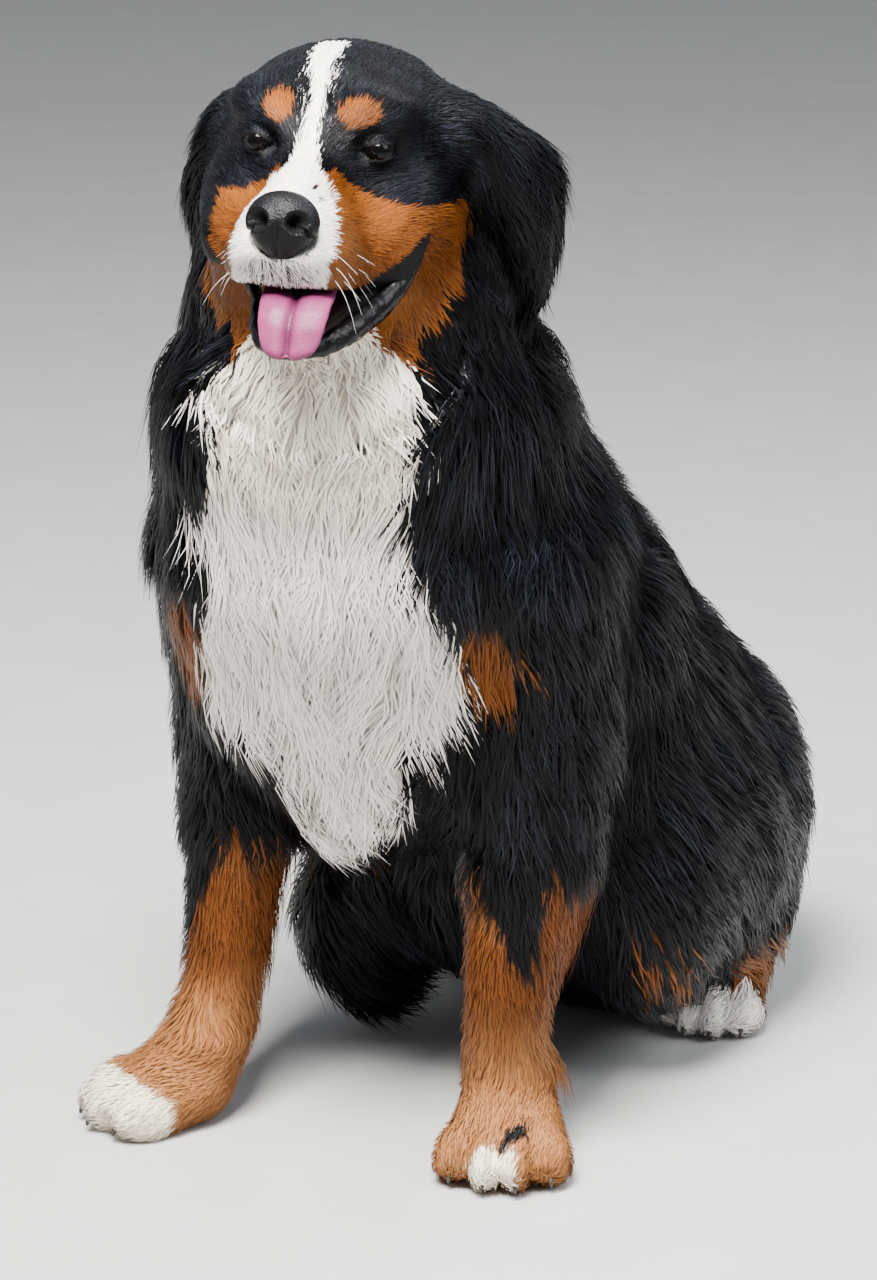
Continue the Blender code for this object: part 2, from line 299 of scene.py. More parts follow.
class Term:
    """A socket of a node tree that stands in a Python expression."""

    def __init__(self, tree, socket):
        self.tree = tree
        self.socket = socket

    def joined(self, operation, *terms, output=0):
        vector = any(is_vector(term) for term in terms)
        node = self.tree.nodes.new("ShaderNodeVectorMath" if vector else "ShaderNodeMath")
        node.operation = operation
        for socket, value in zip(node.inputs, terms):
            fill(self.tree, socket, value)
        return Term(self.tree, node.outputs[output])

    __add__, __radd__ = operator("ADD"), operator("ADD", True)
    __sub__, __rsub__ = operator("SUBTRACT"), operator("SUBTRACT", True)
    __mul__, __rmul__ = operator("MULTIPLY"), operator("MULTIPLY", True)
    __gt__, most, cross = operator("GREATER_THAN"), operator("MAXIMUM"), operator("CROSS_PRODUCT")

    def sine(self):
        return self.joined("SINE", self)

    def unit(self):
        return self.joined("NORMALIZE", self)

    def dot(self, other):
        return self.joined("DOT_PRODUCT", self, other, output="Value")

    def fed(self, kind, output=0):
        """The output of a node that this term is fed to."""
        node = self.tree.nodes.new(kind)
        fill(self.tree, node.inputs[0], self)
        return Term(self.tree, node.outputs[output])

    def part(self, axis):
        return self.fed("ShaderNodeSeparateXYZ", axis)

    def clamped(self):
        return self.fed("ShaderNodeClamp")


def fill(tree, socket, value):
    """Links a socket to a term, or sets its own value; a number fills a vector."""
    if isinstance(value, Term):
        tree.links.new(value.socket, socket)
        return
    if hasattr(socket.default_value, "__len__") and not isinstance(value, (str, Vector, tuple, list)):
        value = [value] * len(socket.default_value)
    socket.default_value = value


class Workbench:
    """A node tree under construction."""

    def __init__(self, tree):
        self.tree = tree
        tree.nodes.clear()

    def add(self, kind, settings=None, inputs=None, output=None):
        """A node by its type, its settings and the values or links of its sockets."""
        node = self.tree.nodes.new(kind)
        for name, value in (settings or {}).items():
            setattr(node, name, value)
        for name, value in (inputs or {}).items():
            socket = next(s for s in node.inputs if s.name == name and s.enabled)
            fill(self.tree, socket, value)
        if output is None:
            socket = next((s for s in node.outputs if s.enabled), None)
        else:
            socket = next(s for s in node.outputs if s.name == output and s.enabled)
        return Term(self.tree, socket) if socket else node

    def mix(self, factor, one, other, kind="RGBA"):
        return self.add("ShaderNodeMix", {"data_type": kind}, {"Factor": factor, "A": one, "B": other})

    def tones(self, factor, dark, light):
        """A colour between two given as on a screen."""
        return self.mix(factor, linear(*dark), linear(*light))

    def vector(self, x, y, z):
        return self.add("ShaderNodeCombineXYZ", None, {"X": x, "Y": y, "Z": z})

    def noise(self, where, scale, detail=2.0, output="Fac"):
        inputs = {"Vector": where, "Scale": scale, "Detail": detail}
        return self.add("ShaderNodeTexNoise", None, inputs, output)


# Finishes

def linear(red, green, blue):
    """A colour given as on a screen from 0 to 255."""
    def channel(value):
        value /= 255.0
        return value / 12.92 if value <= 0.04045 else ((value + 0.055) / 1.055) ** 2.4
    return (channel(red), channel(green), channel(blue), 1.0)


def finish(name, build):
    """A material; build(bench) gives the values of the shader's sockets."""
    material = bpy.data.materials.new(name)
    material.use_nodes = True
    bench = Workbench(material.node_tree)
    values = build(bench)
    normal = values.pop("Height", None)
    if normal:
        height, distance, strength = normal
        bump = {"Height": height, "Distance": distance, "Strength": strength}
        values["Normal"] = bench.add("ShaderNodeBump", None, bump)
    shader = bench.add("ShaderNodeBsdfPrincipled", None, values)
    bench.add("ShaderNodeOutputMaterial", None, {"Surface": shader})
    return material


def attribute(bench, name, output="Fac"):
    return bench.add("ShaderNodeAttribute", {"attribute_name": name}, None, output)


def here(bench):
    return bench.add("ShaderNodeTexCoord", None, None, "Object")


# Hair at its root and its tip, and the tones that some tufts lean to. The bluish grey tone is a painted
# sheen: a highlight painted on the tips of some black tufts.
BLACK_ROOT = linear(1, 1, 1)
BLACK_TIP = linear(10, 10, 13)
BLACK_WARM = linear(26, 17, 12)
RUST_ROOT = linear(38, 14, 5)
RUST_TIP = linear(128, 71, 24)
PAINTED_SHEEN = linear(44, 48, 60)
TAN = linear(158, 106, 64)
# The white hair's root colour is partly its own beige and partly painted shade: it shows in the gaps between
# the locks as their shadow.
SHADED_WHITE_ROOT = linear(200, 190, 174)
WHITE_TIP = linear(254, 253, 252)
CREAM = linear(236, 220, 190)


def coat_colour(bench, along, shade):
    """The colour of the coat, from root to tip and from tuft to tuft, with a painted sheen on some black tips
    and painted shade at the white roots, and how white it is.
    """
    white, rust, pale = (attribute(bench, name) for name in ("white", "rust", "pale"))
    tone = (along * 0.45 + shade * 0.55).clamped()
    black = bench.mix(tone, BLACK_ROOT, BLACK_TIP)
    black = bench.mix(pale * along * 0.6, black, BLACK_WARM)
    # Painted sheen: the tips of the brightest black tufts are mixed towards a bluish grey highlight.
    black = bench.mix(((shade - 0.72) * 3.5).clamped() * along * 0.7, black, PAINTED_SHEEN)
    tan = bench.mix(tone, RUST_ROOT, RUST_TIP)
    tan = bench.mix(pale * (0.55 + shade * 0.45), tan, TAN)
    # White darkens towards the root: partly the hair's own tone, partly painted shade between the locks.
    light = bench.mix(tone, SHADED_WHITE_ROOT, WHITE_TIP)
    light = bench.mix(pale * (0.5 + shade * 0.5), light, CREAM)
    return bench.mix(white, bench.mix(rust, black, tan), light), white


def coat_finish(bench):
    along, shade = attribute(bench, "along"), attribute(bench, "shade")
    strand = attribute(bench, "strand", "Vector")
    hairs = bench.noise(strand, 5.0, 3.0)
    # The strands' contrast is partly tone from strand to strand and partly painted light: painted highlights
    # on black strands and painted shade between white strands.
    contrast = ((hairs - 0.5) * 2.4 + 0.5).clamped()
    colour, white = coat_colour(bench, along, (shade * 0.75 + contrast * 0.40).clamped())
    roughness = 0.28 + white * 0.32 + hairs * 0.10
    return {"Base Color": colour, "Roughness": roughness, "Specular IOR Level": 0.10,
            "Height": (hairs, 0.0007, 0.55)}


def skin_finish(bench):
    """Close underfur in the coat's own markings, bare black leather at the lips and lids, and a dark
    red-black inside of the mouth, partly the gum's own colour and partly painted shade.
    """
    close = bench.noise(attribute(bench, "grain", "Vector"), 1.0, 2.0)
    broad = bench.noise(here(bench), 45.0, 3.0)
    colour, _ = coat_colour(bench, broad * 0.6, ((close - 0.5) * 2.2 + 0.5).clamped())
    bare = attribute(bench, "bare")
    inside = attribute(bench, "inside")
    leather = bench.tones(broad, (4, 4, 5), (12, 11, 13))
    # The inside of the open mouth: partly the gum's own dark colour, partly painted shade inside the mouth.
    gum_in_shade = bench.tones(broad, (10, 5, 6), (40, 18, 20))
    colour = bench.mix(bare, colour, bench.mix(inside, leather, gum_in_shade))
    roughness = 0.62 - bare * 0.10 + close * 0.10
    return {"Base Color": colour, "Roughness": roughness, "Specular IOR Level": 0.10,
            "Height": (close, 0.0008, 0.7)}


def nose_finish(bench):
    place = here(bench)
    pebble = bench.add("ShaderNodeTexVoronoi", {"feature": "SMOOTH_F1"},
                       {"Vector": place, "Scale": 620.0}, "Distance")
    broad = bench.noise(place, 60.0, 3.0)
    hollow = attribute(bench, "hollow")
    colour = bench.tones(broad, (3, 3, 4), (11, 11, 13))
    # The nostrils and the slits beside them are painted darker than the leather: painted shade in the holes.
    colour = bench.mix(hollow, colour, linear(1, 1, 1))
    return {"Base Color": colour, "Roughness": 0.36 + broad * 0.22 + hollow * 0.3, "Specular IOR Level": 0.12,
            "Height": (pebble, 0.0007, 0.75)}


def lip_finish(bench):
    place = here(bench)
    crease = bench.noise(place, 220.0, 4.0)
    broad = bench.noise(place, 40.0, 2.0)
    colour = bench.tones(crease, (1, 1, 2), (7, 6, 7))
    return {"Base Color": colour, "Roughness": 0.16 + broad * 0.26, "Specular IOR Level": 0.20,
            "Height": (crease, 0.0015, 0.6)}


def tongue_finish(bench):
    place = here(bench)
    bumps = bench.noise(place, 900.0, 2.0)
    broad = bench.noise(place, 55.0, 3.0)
    colour = bench.tones(broad, (84, 26, 58), (128, 54, 92))
    # The groove along the tongue's middle is painted darker: painted shade in the groove.
    colour = bench.mix(attribute(bench, "groove") * 0.7, colour, linear(52, 14, 36))
    return {"Base Color": colour, "Roughness": 0.34 + broad * 0.20, "Specular IOR Level": 0.22,
            "Subsurface Weight": 0.12, "Subsurface Scale": 0.01, "Height": (bumps, 0.0005, 0.7)}


def eye_finish(bench):
    ring = attribute(bench, "ring")
    place = here(bench)
    fibre = bench.noise(place, 1400.0, 3.0)
    iris = bench.tones(fibre, (3, 2, 2), (10, 6, 5))
    pupil = (ring * 9.0 - 3.6).clamped()
    rim = (ring * 12.0 - 9.0).clamped()
    colour = bench.mix(pupil, linear(3, 3, 4), iris)
    colour = bench.mix(rim, colour, linear(7, 5, 5))
    return {"Base Color": colour, "Roughness": 0.04 + rim * 0.10, "Specular IOR Level": 0.11}


def plain_finish(scale, detail, dark, light, roughness, change, *relief):
    """A finish between two colours; relief is the depth and the strength of its bump."""
    def build(bench):
        grain = bench.noise(here(bench), scale, detail)
        colour = bench.tones(grain, dark, light)
        return {"Base Color": colour, "Roughness": roughness + grain * change,
                "Height": relief and (grain, *relief)}
    return build


COAT = finish("coat", coat_finish)
SKIN = finish("skin", skin_finish)
NOSE = finish("nose_leather", nose_finish)
LIP = finish("lip_leather", lip_finish)
TONGUE = finish("tongue", tongue_finish)
EYE = finish("eye", eye_finish)
CLAW = finish("claw", plain_finish(260.0, 3.0, (18, 15, 14), (52, 44, 40), 0.30, 0.2, 0.0004, 0.4))
WHISKER = finish("whisker", plain_finish(90.0, 1.0, (190, 186, 180), (246, 244, 240), 0.35, 0.1))
FLOOR = finish("floor", plain_finish(14.0, 4.0, (160, 159, 157), (172, 171, 169), 0.75, 0.1, 0.0006, 0.1))


# The skin

# For each CAD node: depth of the coat, length of its hair, half width of a tuft, tufts to a square
# centimetre, wave from side to side, how closely the hair clings to the body, all in metres or 0 to 1.
COATS = {
    "head": (0.0040, 0.011, 0.00045, 60.0, 0.0002, 0.97),
    "ear": (0.0060, 0.044, 0.0009, 13.0, 0.0060, 0.56),
    "lower_jaw": (0.0035, 0.009, 0.00045, 60.0, 0.0002, 0.97),
    "neck": (0.0200, 0.066, 0.0012, 10.5, 0.0040, 0.90),
    "chest": (0.0220, 0.064, 0.00095, 15.5, 0.0085, 0.82),
    "belly": (0.0160, 0.055, 0.0013, 7.2, 0.0030, 0.93),
    "rump": (0.0170, 0.060, 0.0013, 7.4, 0.0030, 0.93),
    "upper_arm": (0.0140, 0.046, 0.0011, 9.0, 0.0030, 0.93),
    "forearm": (0.0070, 0.018, 0.0008, 8.0, 0.0006, 0.94),
    "front_paw": (0.0050, 0.010, 0.0006, 13.0, 0.0002, 0.97),
    "thigh": (0.0160, 0.056, 0.0013, 7.4, 0.0030, 0.91),
    "hind_foot": (0.0050, 0.012, 0.0007, 14.0, 0.0003, 0.96),
    "tail_root": (0.0200, 0.070, 0.0015, 6.4, 0.0045, 0.82),
    "tail_tip": (0.0160, 0.065, 0.0015, 6.8, 0.0045, 0.78),
}
KINDS = sorted(COATS)
# How strongly each round of softening acts on the skin there.
USUAL_SOFTENING = 0.5
SOFTENING = {"head": 0.26, "ear": 0.22, "lower_jaw": 0.20, "front_paw": 0.07, "hind_foot": 0.07,
             "forearm": 0.30, "tail_tip": 0.30}


def kind_of(node):
    return next(kind for kind in sorted(KINDS, key=len, reverse=True) if node.startswith(kind))


def of_kind(labels, *kinds):
    """Which points bear one of these kinds of coat."""
    return np.isin(labels, [KINDS.index(kind) for kind in kinds])


def flesh_tree():
    """The CAD solids of flesh as one search tree, and the kind of coat of each of its faces."""
    corners, faces, kinds = [], [], []
    for node in FLESH + EYES:
        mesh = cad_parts[node].data
        start = len(corners)
        corners += [vertex.co.copy() for vertex in mesh.vertices]
        faces += [[start + i for i in face.vertices] for face in mesh.polygons]
        kinds += [KINDS.index(kind_of(node.replace("eye", "head")))] * len(mesh.polygons)
    return BVHTree.FromPolygons(corners, faces), np.array(kinds)


def finer(mesh, wanted):
    """Halves the edges of the faces whose middles are wanted."""
    shape = bmesh.new()
    shape.from_mesh(mesh)
    middles = np.array([face.calc_center_median() for face in shape.faces])
    chosen = wanted(seen_from(middles, HEAD))
    edges = {edge for face, take in zip(shape.faces, chosen) if take for edge in face.edges}
    bmesh.ops.subdivide_edges(shape, edges=list(edges), cuts=1, use_grid_fill=True)
    shape.to_mesh(mesh)
    shape.free()


def face_front(p):
    return (p[:, 1] < 0.045) & (p[:, 2] > -0.165) & (p[:, 2] < 0.060) & (np.abs(p[:, 0]) < 0.095)


def face_detail(p):
    eyes = (np.abs(np.abs(p[:, 0]) - EYE_SIDE) < 0.024) & (np.abs(p[:, 2]) < 0.022) & (p[:, 1] < 0.015)
    mouth = (p[:, 1] < 0.015) & (p[:, 2] < -0.035) & (p[:, 2] > -0.145)
    return eyes | mouth


def eye_detail(p):
    away = np.abs(p - np.array(EYES_MIDDLE))
    return (np.abs(away[:, 0] - EYE_SIDE) < 0.017) & (away[:, 2] < 0.013) & (p[:, 1] < 0.008)


def eye_place(side):
    """An eyeball's own frame, with -Y ahead: turned outward, its outer corner a little higher."""
    middle = EYES_MIDDLE + Vector((side * EYE_SIDE, 0.0, 0.0))
    return placed(middle, (0.0, side * -10.0, side * 16.0), HEAD)


# The opening of the left eye (1) and the right eye (-1): half its width, its height above and below.
OPENINGS = {1.0: (0.0124, 0.0043, 0.0036), -1.0: (0.0090, 0.0050, 0.0042)}


def lids(points, edges):
    """Skin drawn over the eyeballs, with an almond opening; also how bare each point is."""
    bare = np.zeros(len(points))
    round_about = np.zeros(len(points))
    for side in (1.0, -1.0):
        place = eye_place(side)
        p = seen_from(points, place)
        reach = np.linalg.norm(p, axis=1)
        near = ramp(reach, 0.027, 0.0165) * ramp(p[:, 1], 0.004, -0.003)
        half, above, below = OPENINGS[side]
        u = p[:, 0] / half
        upper = above * (1 - np.clip(u * u, 0, 1)) ** 0.8
        lower = -below * (1 - np.clip(u * u, 0, 1)) ** 0.7
        height = p[:, 2] + 0.0012
        outside = np.maximum(np.maximum(height - upper, lower - height), (np.abs(u) - 1.0) * half)
        lid = EYE_RADIUS + 0.0008 + 0.0004 * hill((outside - 0.0030) / 0.0018)
        hidden = EYE_RADIUS - 0.0014
        lid = lid + np.maximum(reach - lid, 0) * ramp(outside, 0.0015, 0.0070)
        wanted = hidden + (lid - hidden) * ramp(outside, -0.0005, 0.0005)
        shift = np.clip(wanted - reach, -0.012, 0.012)
        p = p + unit(p) * (shift * near)[:, None]
        points = turned_by(p, place) + np.array(place)[:3, 3]
        bare = np.maximum(bare, near * ramp(outside, 0.0015, 0.0006))
        ring = ramp(outside, 0.0016, 0.0040) * ramp(reach, 0.036, 0.026) * (p[:, 1] < 0.01)
        round_about = np.maximum(round_about, ring)
    return blur(points, edges, 30, 0.8 * round_about), bare


# The lower jaw hangs to the dog's left: its right side lies this much nearer the middle.
JAW_SWING = 0.45


def sculpt_face(points):
    """Brow, stop, cheek and lip shapes that the round masses of the solids leave out."""
    p = seen_from(points, HEAD)
    x, y, z = p.T
    across = np.abs(x)
    front = ramp(y, 0.030, -0.005)
    push = np.zeros_like(p)
    furrow = hill(x / 0.006) * ramp(z, -0.010, 0.015) * ramp(z, 0.075, 0.040)
    push[:, 1] += 0.0025 * furrow * front
    brow = hill((across - 0.036) / 0.017, (z - 0.024) / 0.009)
    push[:, 1] -= 0.0050 * (brow * front)
    under = hill((across - 0.040) / 0.018, (z + 0.020) / 0.008)
    push[:, 1] += 0.0005 * (under * front)
    stop = hill((across - 0.020) / 0.010, (z + 0.004) / 0.014)
    push[:, 1] += 0.0022 * (stop * front)
    flute = hill(x / 0.0022) * ramp(z, -0.052, -0.060) * ramp(y, -0.085, -0.095)
    push[:, 1] += 0.0025 * flute
    narrow = ramp(-x, 0.000, 0.016) * ramp(z, -0.082, -0.096) * ramp(y, 0.020, -0.030)
    push[:, 0] += JAW_SWING * across * narrow
    pad = hill((across - 0.026) / 0.012, (z + 0.066) / 0.016) * ramp(y, -0.030, -0.070)
    push[:, 0] += 0.0022 * pad * np.sign(x)
    push[:, 1] -= 0.0020 * pad
    return points + turned_by(push, HEAD)


# Each paw: its kind of coat, the point under its heel, degrees turned outward to +X, its size.
PAWS = (
    ("front_paw", (0.108, -0.160, 0.0), 28.0, 1.04),
    ("front_paw", (-0.130, -0.232, 0.0), -40.0, 1.04),
    ("hind_foot", (0.092, 0.195, 0.0), 14.0, 0.92),
    ("hind_foot", (-0.092, 0.195, 0.0), -14.0, 0.92),
)
TOES = (-1.5, -0.5, 0.5, 1.5)
TOE_SPREAD = 0.0233


def toe_creases(points, normals):
    """The furrows between the toes."""
    inward = np.zeros(len(points))
    for _, heel, outward, size in PAWS:
        foot = placed(heel, (0.0, 0.0, outward)) @ Matrix.Scale(size, 4)
        p = seen_from(points, foot)
        for between in (-1.0, 0.0, 1.0):
            line = hill((p[:, 0] - between * TOE_SPREAD) / 0.0032)
            ahead = ramp(p[:, 1], -0.048 + 0.006 * abs(between), -0.064) * ramp(p[:, 2], 0.060, 0.045)
            near = (np.abs(p[:, 0]) < 0.05) & (p[:, 1] > -0.13)
            inward = np.maximum(inward, line * ahead * near)
    return points - normals * (0.0042 * inward)[:, None]


def build_skin():
    tree, kinds = flesh_tree()
    mesh = melted([cad_copy(node, SKIN_SWELL) for node in FLESH + EYES], SKIN_VOXEL)
    for detail in (face_front, face_detail, eye_detail):
        finer(mesh, detail)
    points = points_of(mesh)
    nearest = [tree.find_nearest(point) for point in points.tolist()]
    labels = kinds[[hit[2] for hit in nearest]]
    inner = seen_from(points, HEAD)
    snapped = np.array([hit[0] for hit in nearest])
    points = np.where(face_front(inner)[:, None], snapped, points)
    edges = edges_of(mesh)
    strength = np.array([SOFTENING.get(kind, USUAL_SOFTENING) for kind in KINDS])[labels]
    points = blur(points, edges, SKIN_ROUNDS, blur(strength, edges, 4))
    hair = blur(np.array([COATS[kind] for kind in KINDS])[labels], edges, COAT_ROUNDS)
    put_points(mesh, points)
    inner = seen_from(points, HEAD)
    cheek = of_kind(labels, "ear") & (inner[:, 2] < -0.035) & (inner[:, 0] < 0.102)
    cheek &= (inner[:, 0] > 0) & (inner[:, 1] < 0.082)
    labels = np.where(cheek, KINDS.index("head"), labels)
    low = 0.15 + 0.85 * ramp(points[:, 2], 0.004, 0.040)
    depth = hair[:, 0] * low * face_depth(inner, labels)
    points = points - normals_of(mesh) * depth[:, None]
    points = blur(points, edges, 4, 0.3 * strength)
    points = toe_creases(points, normals_of(mesh))
    points = sculpt_face(points)
    points, lid = lids(points, edges)
    points[:, 2] = np.maximum(points[:, 2], LOWEST_SKIN)
    put_points(mesh, points)
    smooth(mesh)
    return mesh, points, edges, labels, hair, lid


def face_depth(p, labels):
    """The coat is shortest on the muzzle and round the eyes."""
    head = of_kind(labels, "head", "lower_jaw")
    back = 0.5 + 0.3 * ramp(p[:, 1], 0.000, 0.070) + 3.0 * ramp(p[:, 2], -0.112, -0.150)
    return np.where(head, back * ramp(mouth_gap(p), 0.0005, 0.006), 1.0)


# Markings

# Outlines: heights, and how far the white reaches there to the right and the left of the middle. The
# bib's are in the chest's frame, the throat's and the blaze's in the head's.
BIB = (
    (0.230, 0.270, 0.315, 0.330, 0.345, 0.390, 0.420, 0.450, 0.490, 0.530, 0.580, 0.620),
    (0.020, 0.030, 0.040, 0.062, 0.100, 0.112, 0.100, 0.086, 0.112, 0.082, 0.068, 0.072),
    (0.020, 0.040, 0.052, 0.066, 0.092, 0.104, 0.102, 0.086, 0.068, 0.070, 0.068, 0.074),
)
THROAT = (
    (-0.214, -0.200, -0.187, -0.176, -0.163, -0.152, -0.142, -0.130, -0.118, -0.105),
    (0.062, 0.068, 0.078, 0.086, 0.062, 0.051, 0.047, 0.030, 0.020, 0.012),
    (0.075, 0.080, 0.086, 0.088, 0.084, 0.062, 0.046, 0.042, 0.038, 0.030),
)
BLAZE = (
    (-0.080, -0.060, -0.045, -0.035, -0.022, -0.009, 0.007, 0.030, 0.047, 0.065),
    (0.034, 0.036, 0.036, 0.034, 0.028, 0.013, 0.007, 0.004, 0.007, 0.019),
    (0.036, 0.039, 0.038, 0.034, 0.024, 0.013, 0.004, 0.003, 0.003, 0.002),
)
# The rust of the cheek: how high it reaches at a distance from the middle, how far back at a height.
CHEEK_ACROSS = (0.020, 0.026, 0.036, 0.050, 0.066, 0.090)
CHEEK_TOP = (-0.012, -0.018, -0.026, -0.031, -0.034, -0.036)
CHEEK_HEIGHTS = (-0.195, -0.163, -0.140, -0.121, -0.100, -0.084, -0.067, -0.044)
CHEEK_BACK = (-0.010, 0.006, 0.024, 0.042, 0.058, 0.070, 0.080, 0.073)


def within(outline, x, height):
    """How far inside an outline each point is."""
    heights, right, left = outline
    reach = np.where(x > 0, np.interp(height, heights, left), np.interp(height, heights, right))
    return reach - np.abs(x)


def spot(p, middle, radii, edge=0.25):
    """1 inside an egg-shaped patch, 0 outside."""
    away = np.linalg.norm((p - np.array(middle)) / np.array(radii), axis=1)
    return ramp(away, 1.0 + edge, 1.0 - edge)


def spots(p, *patches):
    """Several patches in one."""
    return sum(spot(p, *patch) for patch in patches)


def markings(points, labels):
    """How white, rust and pale the coat is at each point."""
    wander = np.stack([ripple(points, 0.030), ripple(points, 0.034, 2.0), ripple(points, 0.027, 4.0)], 1)
    rough = points + 0.0035 * wander
    fine = points + 0.0012 * wander
    h = seen_from(fine, HEAD)
    c = seen_from(rough, CHEST)
    x, y, z = h.T
    face = of_kind(labels, "head", "lower_jaw")
    inside = within(BLAZE, x, z)
    flecked = 1.0 + 1.5 * ramp(z, 0.030, 0.062) + ramp(z, -0.060, -0.020)
    blaze = ramp(inside / flecked, -0.0015, 0.0015)
    sprinkled = 0.37 * ramp(inside, -0.016, 0.0) * ramp(z, -0.006, 0.004) * ramp(z, 0.075, 0.060)
    blaze = np.maximum(blaze, sprinkled) * ramp(y, 0.078, 0.066) * face * ramp(z, -0.100, -0.094)
    across = np.abs(x)
    ahead = ramp(y + 0.35 * across, 0.050, 0.035)
    throat = ramp(within(THROAT, x, z), -0.003, 0.003) * ramp(z, -0.104, -0.112)
    throat *= ahead * (face | of_kind(labels, "neck"))
    freckles = spots(h, ((0.017, -0.066, -0.020), (0.0020, 0.01, 0.0018)),
                     ((0.023, -0.071, -0.027), (0.0022, 0.01, 0.0016)))
    blaze *= 1 - 0.8 * freckles
    bristle = spot(h, (0.003, -0.105, -0.078), (0.034, 0.030, 0.016), 0.5)
    blaze *= 1 - bristle * (0.42 + 0.25 * ripple(points, 0.006))
    bib = ramp(within(BIB, c[:, 0], c[:, 2]), -0.004, 0.004) * ramp(c[:, 1], -0.070, -0.085)
    bib *= ramp(c[:, 2], 0.235, 0.250) * ramp(z, -0.160, -0.175) * np.where(z > -0.230, ahead, 1.0)
    bib *= ~(face | of_kind(labels, "forearm", "ear"))
    toes = toe_white(points, labels)
    tail = of_kind(labels, "tail_tip") * spot(rough, (-0.235, 0.185, 0.03), (0.055, 0.055, 0.08))
    white = np.clip(np.maximum.reduce([blaze, throat, bib, toes, tail]), 0, 1)
    brows = spots(h, ((0.033, -0.012, 0.0285), (0.0150, 0.03, 0.0110), 0.4),
                  ((-0.0265, -0.013, 0.030), (0.0110, 0.03, 0.0120), 0.4))
    ear_fleck = spot(h, (0.130, 0.062, -0.044), (0.005, 0.03, 0.012), 0.5) * 0.30
    top = np.interp(across, CHEEK_ACROSS, CHEEK_TOP)
    behind = np.interp(z, CHEEK_HEIGHTS, CHEEK_BACK)
    cheek = ramp(top - z, -0.003, 0.003) * ramp(behind - y, -0.006, 0.006) * ramp(z, -0.215, -0.185)
    cheek *= ~of_kind(labels, "ear") * (1 - ramp(-x, 0.068, 0.074) * ramp(z, -0.092, -0.084))
    shoulder = spots(c, ((0.122, -0.150, 0.392), (0.019, 0.060, 0.042)),
                     ((-0.124, -0.140, 0.392), (0.018, 0.070, 0.050)))
    legs = leg_rust(rough, labels)
    cheek *= (1 - freckles) * (1 - bristle)
    rust = np.clip(np.maximum.reduce([brows + ear_fleck, cheek, shoulder, legs]), 0, 1)
    pale = of_kind(labels, "forearm", "front_paw") * ramp(points[:, 2], 0.135, 0.070) * 0.8
    pale = np.maximum(pale, ramp(c[:, 2], 0.50, 0.60) * (bib + throat) * 0.58 + 0.20 * bib)
    pale = np.maximum(pale, 0.25 * ramp(ripple(points, 0.16, 1.0), 0.35, 0.75))
    return white, rust, pale


def leg_rust(points, labels):
    """Rust on the legs: all of the wrists, and bands up the inside and back of the forearms."""
    forearm = of_kind(labels, "forearm")
    paw = of_kind(labels, "front_paw")
    hind = of_kind(labels, "hind_foot", "thigh")
    x, y, z = points.T
    down = 0.235 - z
    stripe = 0.034 - 0.36 * down - np.abs(x - 0.180 - 0.25 * down)
    left_black = ramp(stripe, -0.002, 0.002) * ramp(y, -0.150, -0.165)
    right_black = ramp(-0.049 - 0.36 * down - x, -0.002, 0.002) * ramp(z, 0.118, 0.128)
    black = np.where(x > 0.06, left_black, right_black)
    fore = forearm * (1 - black) * ramp(z, 0.250, 0.230) * ramp(y, -0.115, -0.130)
    heel = ramp(z, 0.080, 0.055) * ramp(y, 0.110, 0.140) * ramp(y, 0.24, 0.22)
    shin = spot(points, (0.225, -0.018, 0.100), (0.045, 0.040, 0.034), 0.7) * 0.55
    # The rust gives way to black in the gap between two toes of the left front paw: painted shade in the
    # crease.
    shade_between_toes = spot(points, (0.214, -0.240, 0.040), (0.006, 0.022, 0.014))
    return np.clip(fore + paw * (1 - shade_between_toes) + hind * (heel + shin), 0, 1)


def toe_white(points, labels):
    """The white toes: fore and hind."""
    x, y, z = points.T
    ahead_left = 0.47 * (x - 0.172) - 0.88 * (y + 0.178) - 0.025 * ramp(x, 0.220, 0.240)
    ahead_right = -0.42 * (x + 0.066) - 0.91 * (y + 0.250) - 0.035 * ramp(z, 0.025, 0.060)
    fore = np.where(x > 0.06, ramp(ahead_left, 0.082, 0.090), ramp(ahead_right, 0.044, 0.052))
    hind = ramp(0.150 - y, -0.004, 0.006)
    return of_kind(labels, "front_paw") * fore + of_kind(labels, "hind_foot") * hind


# The lie of the coat

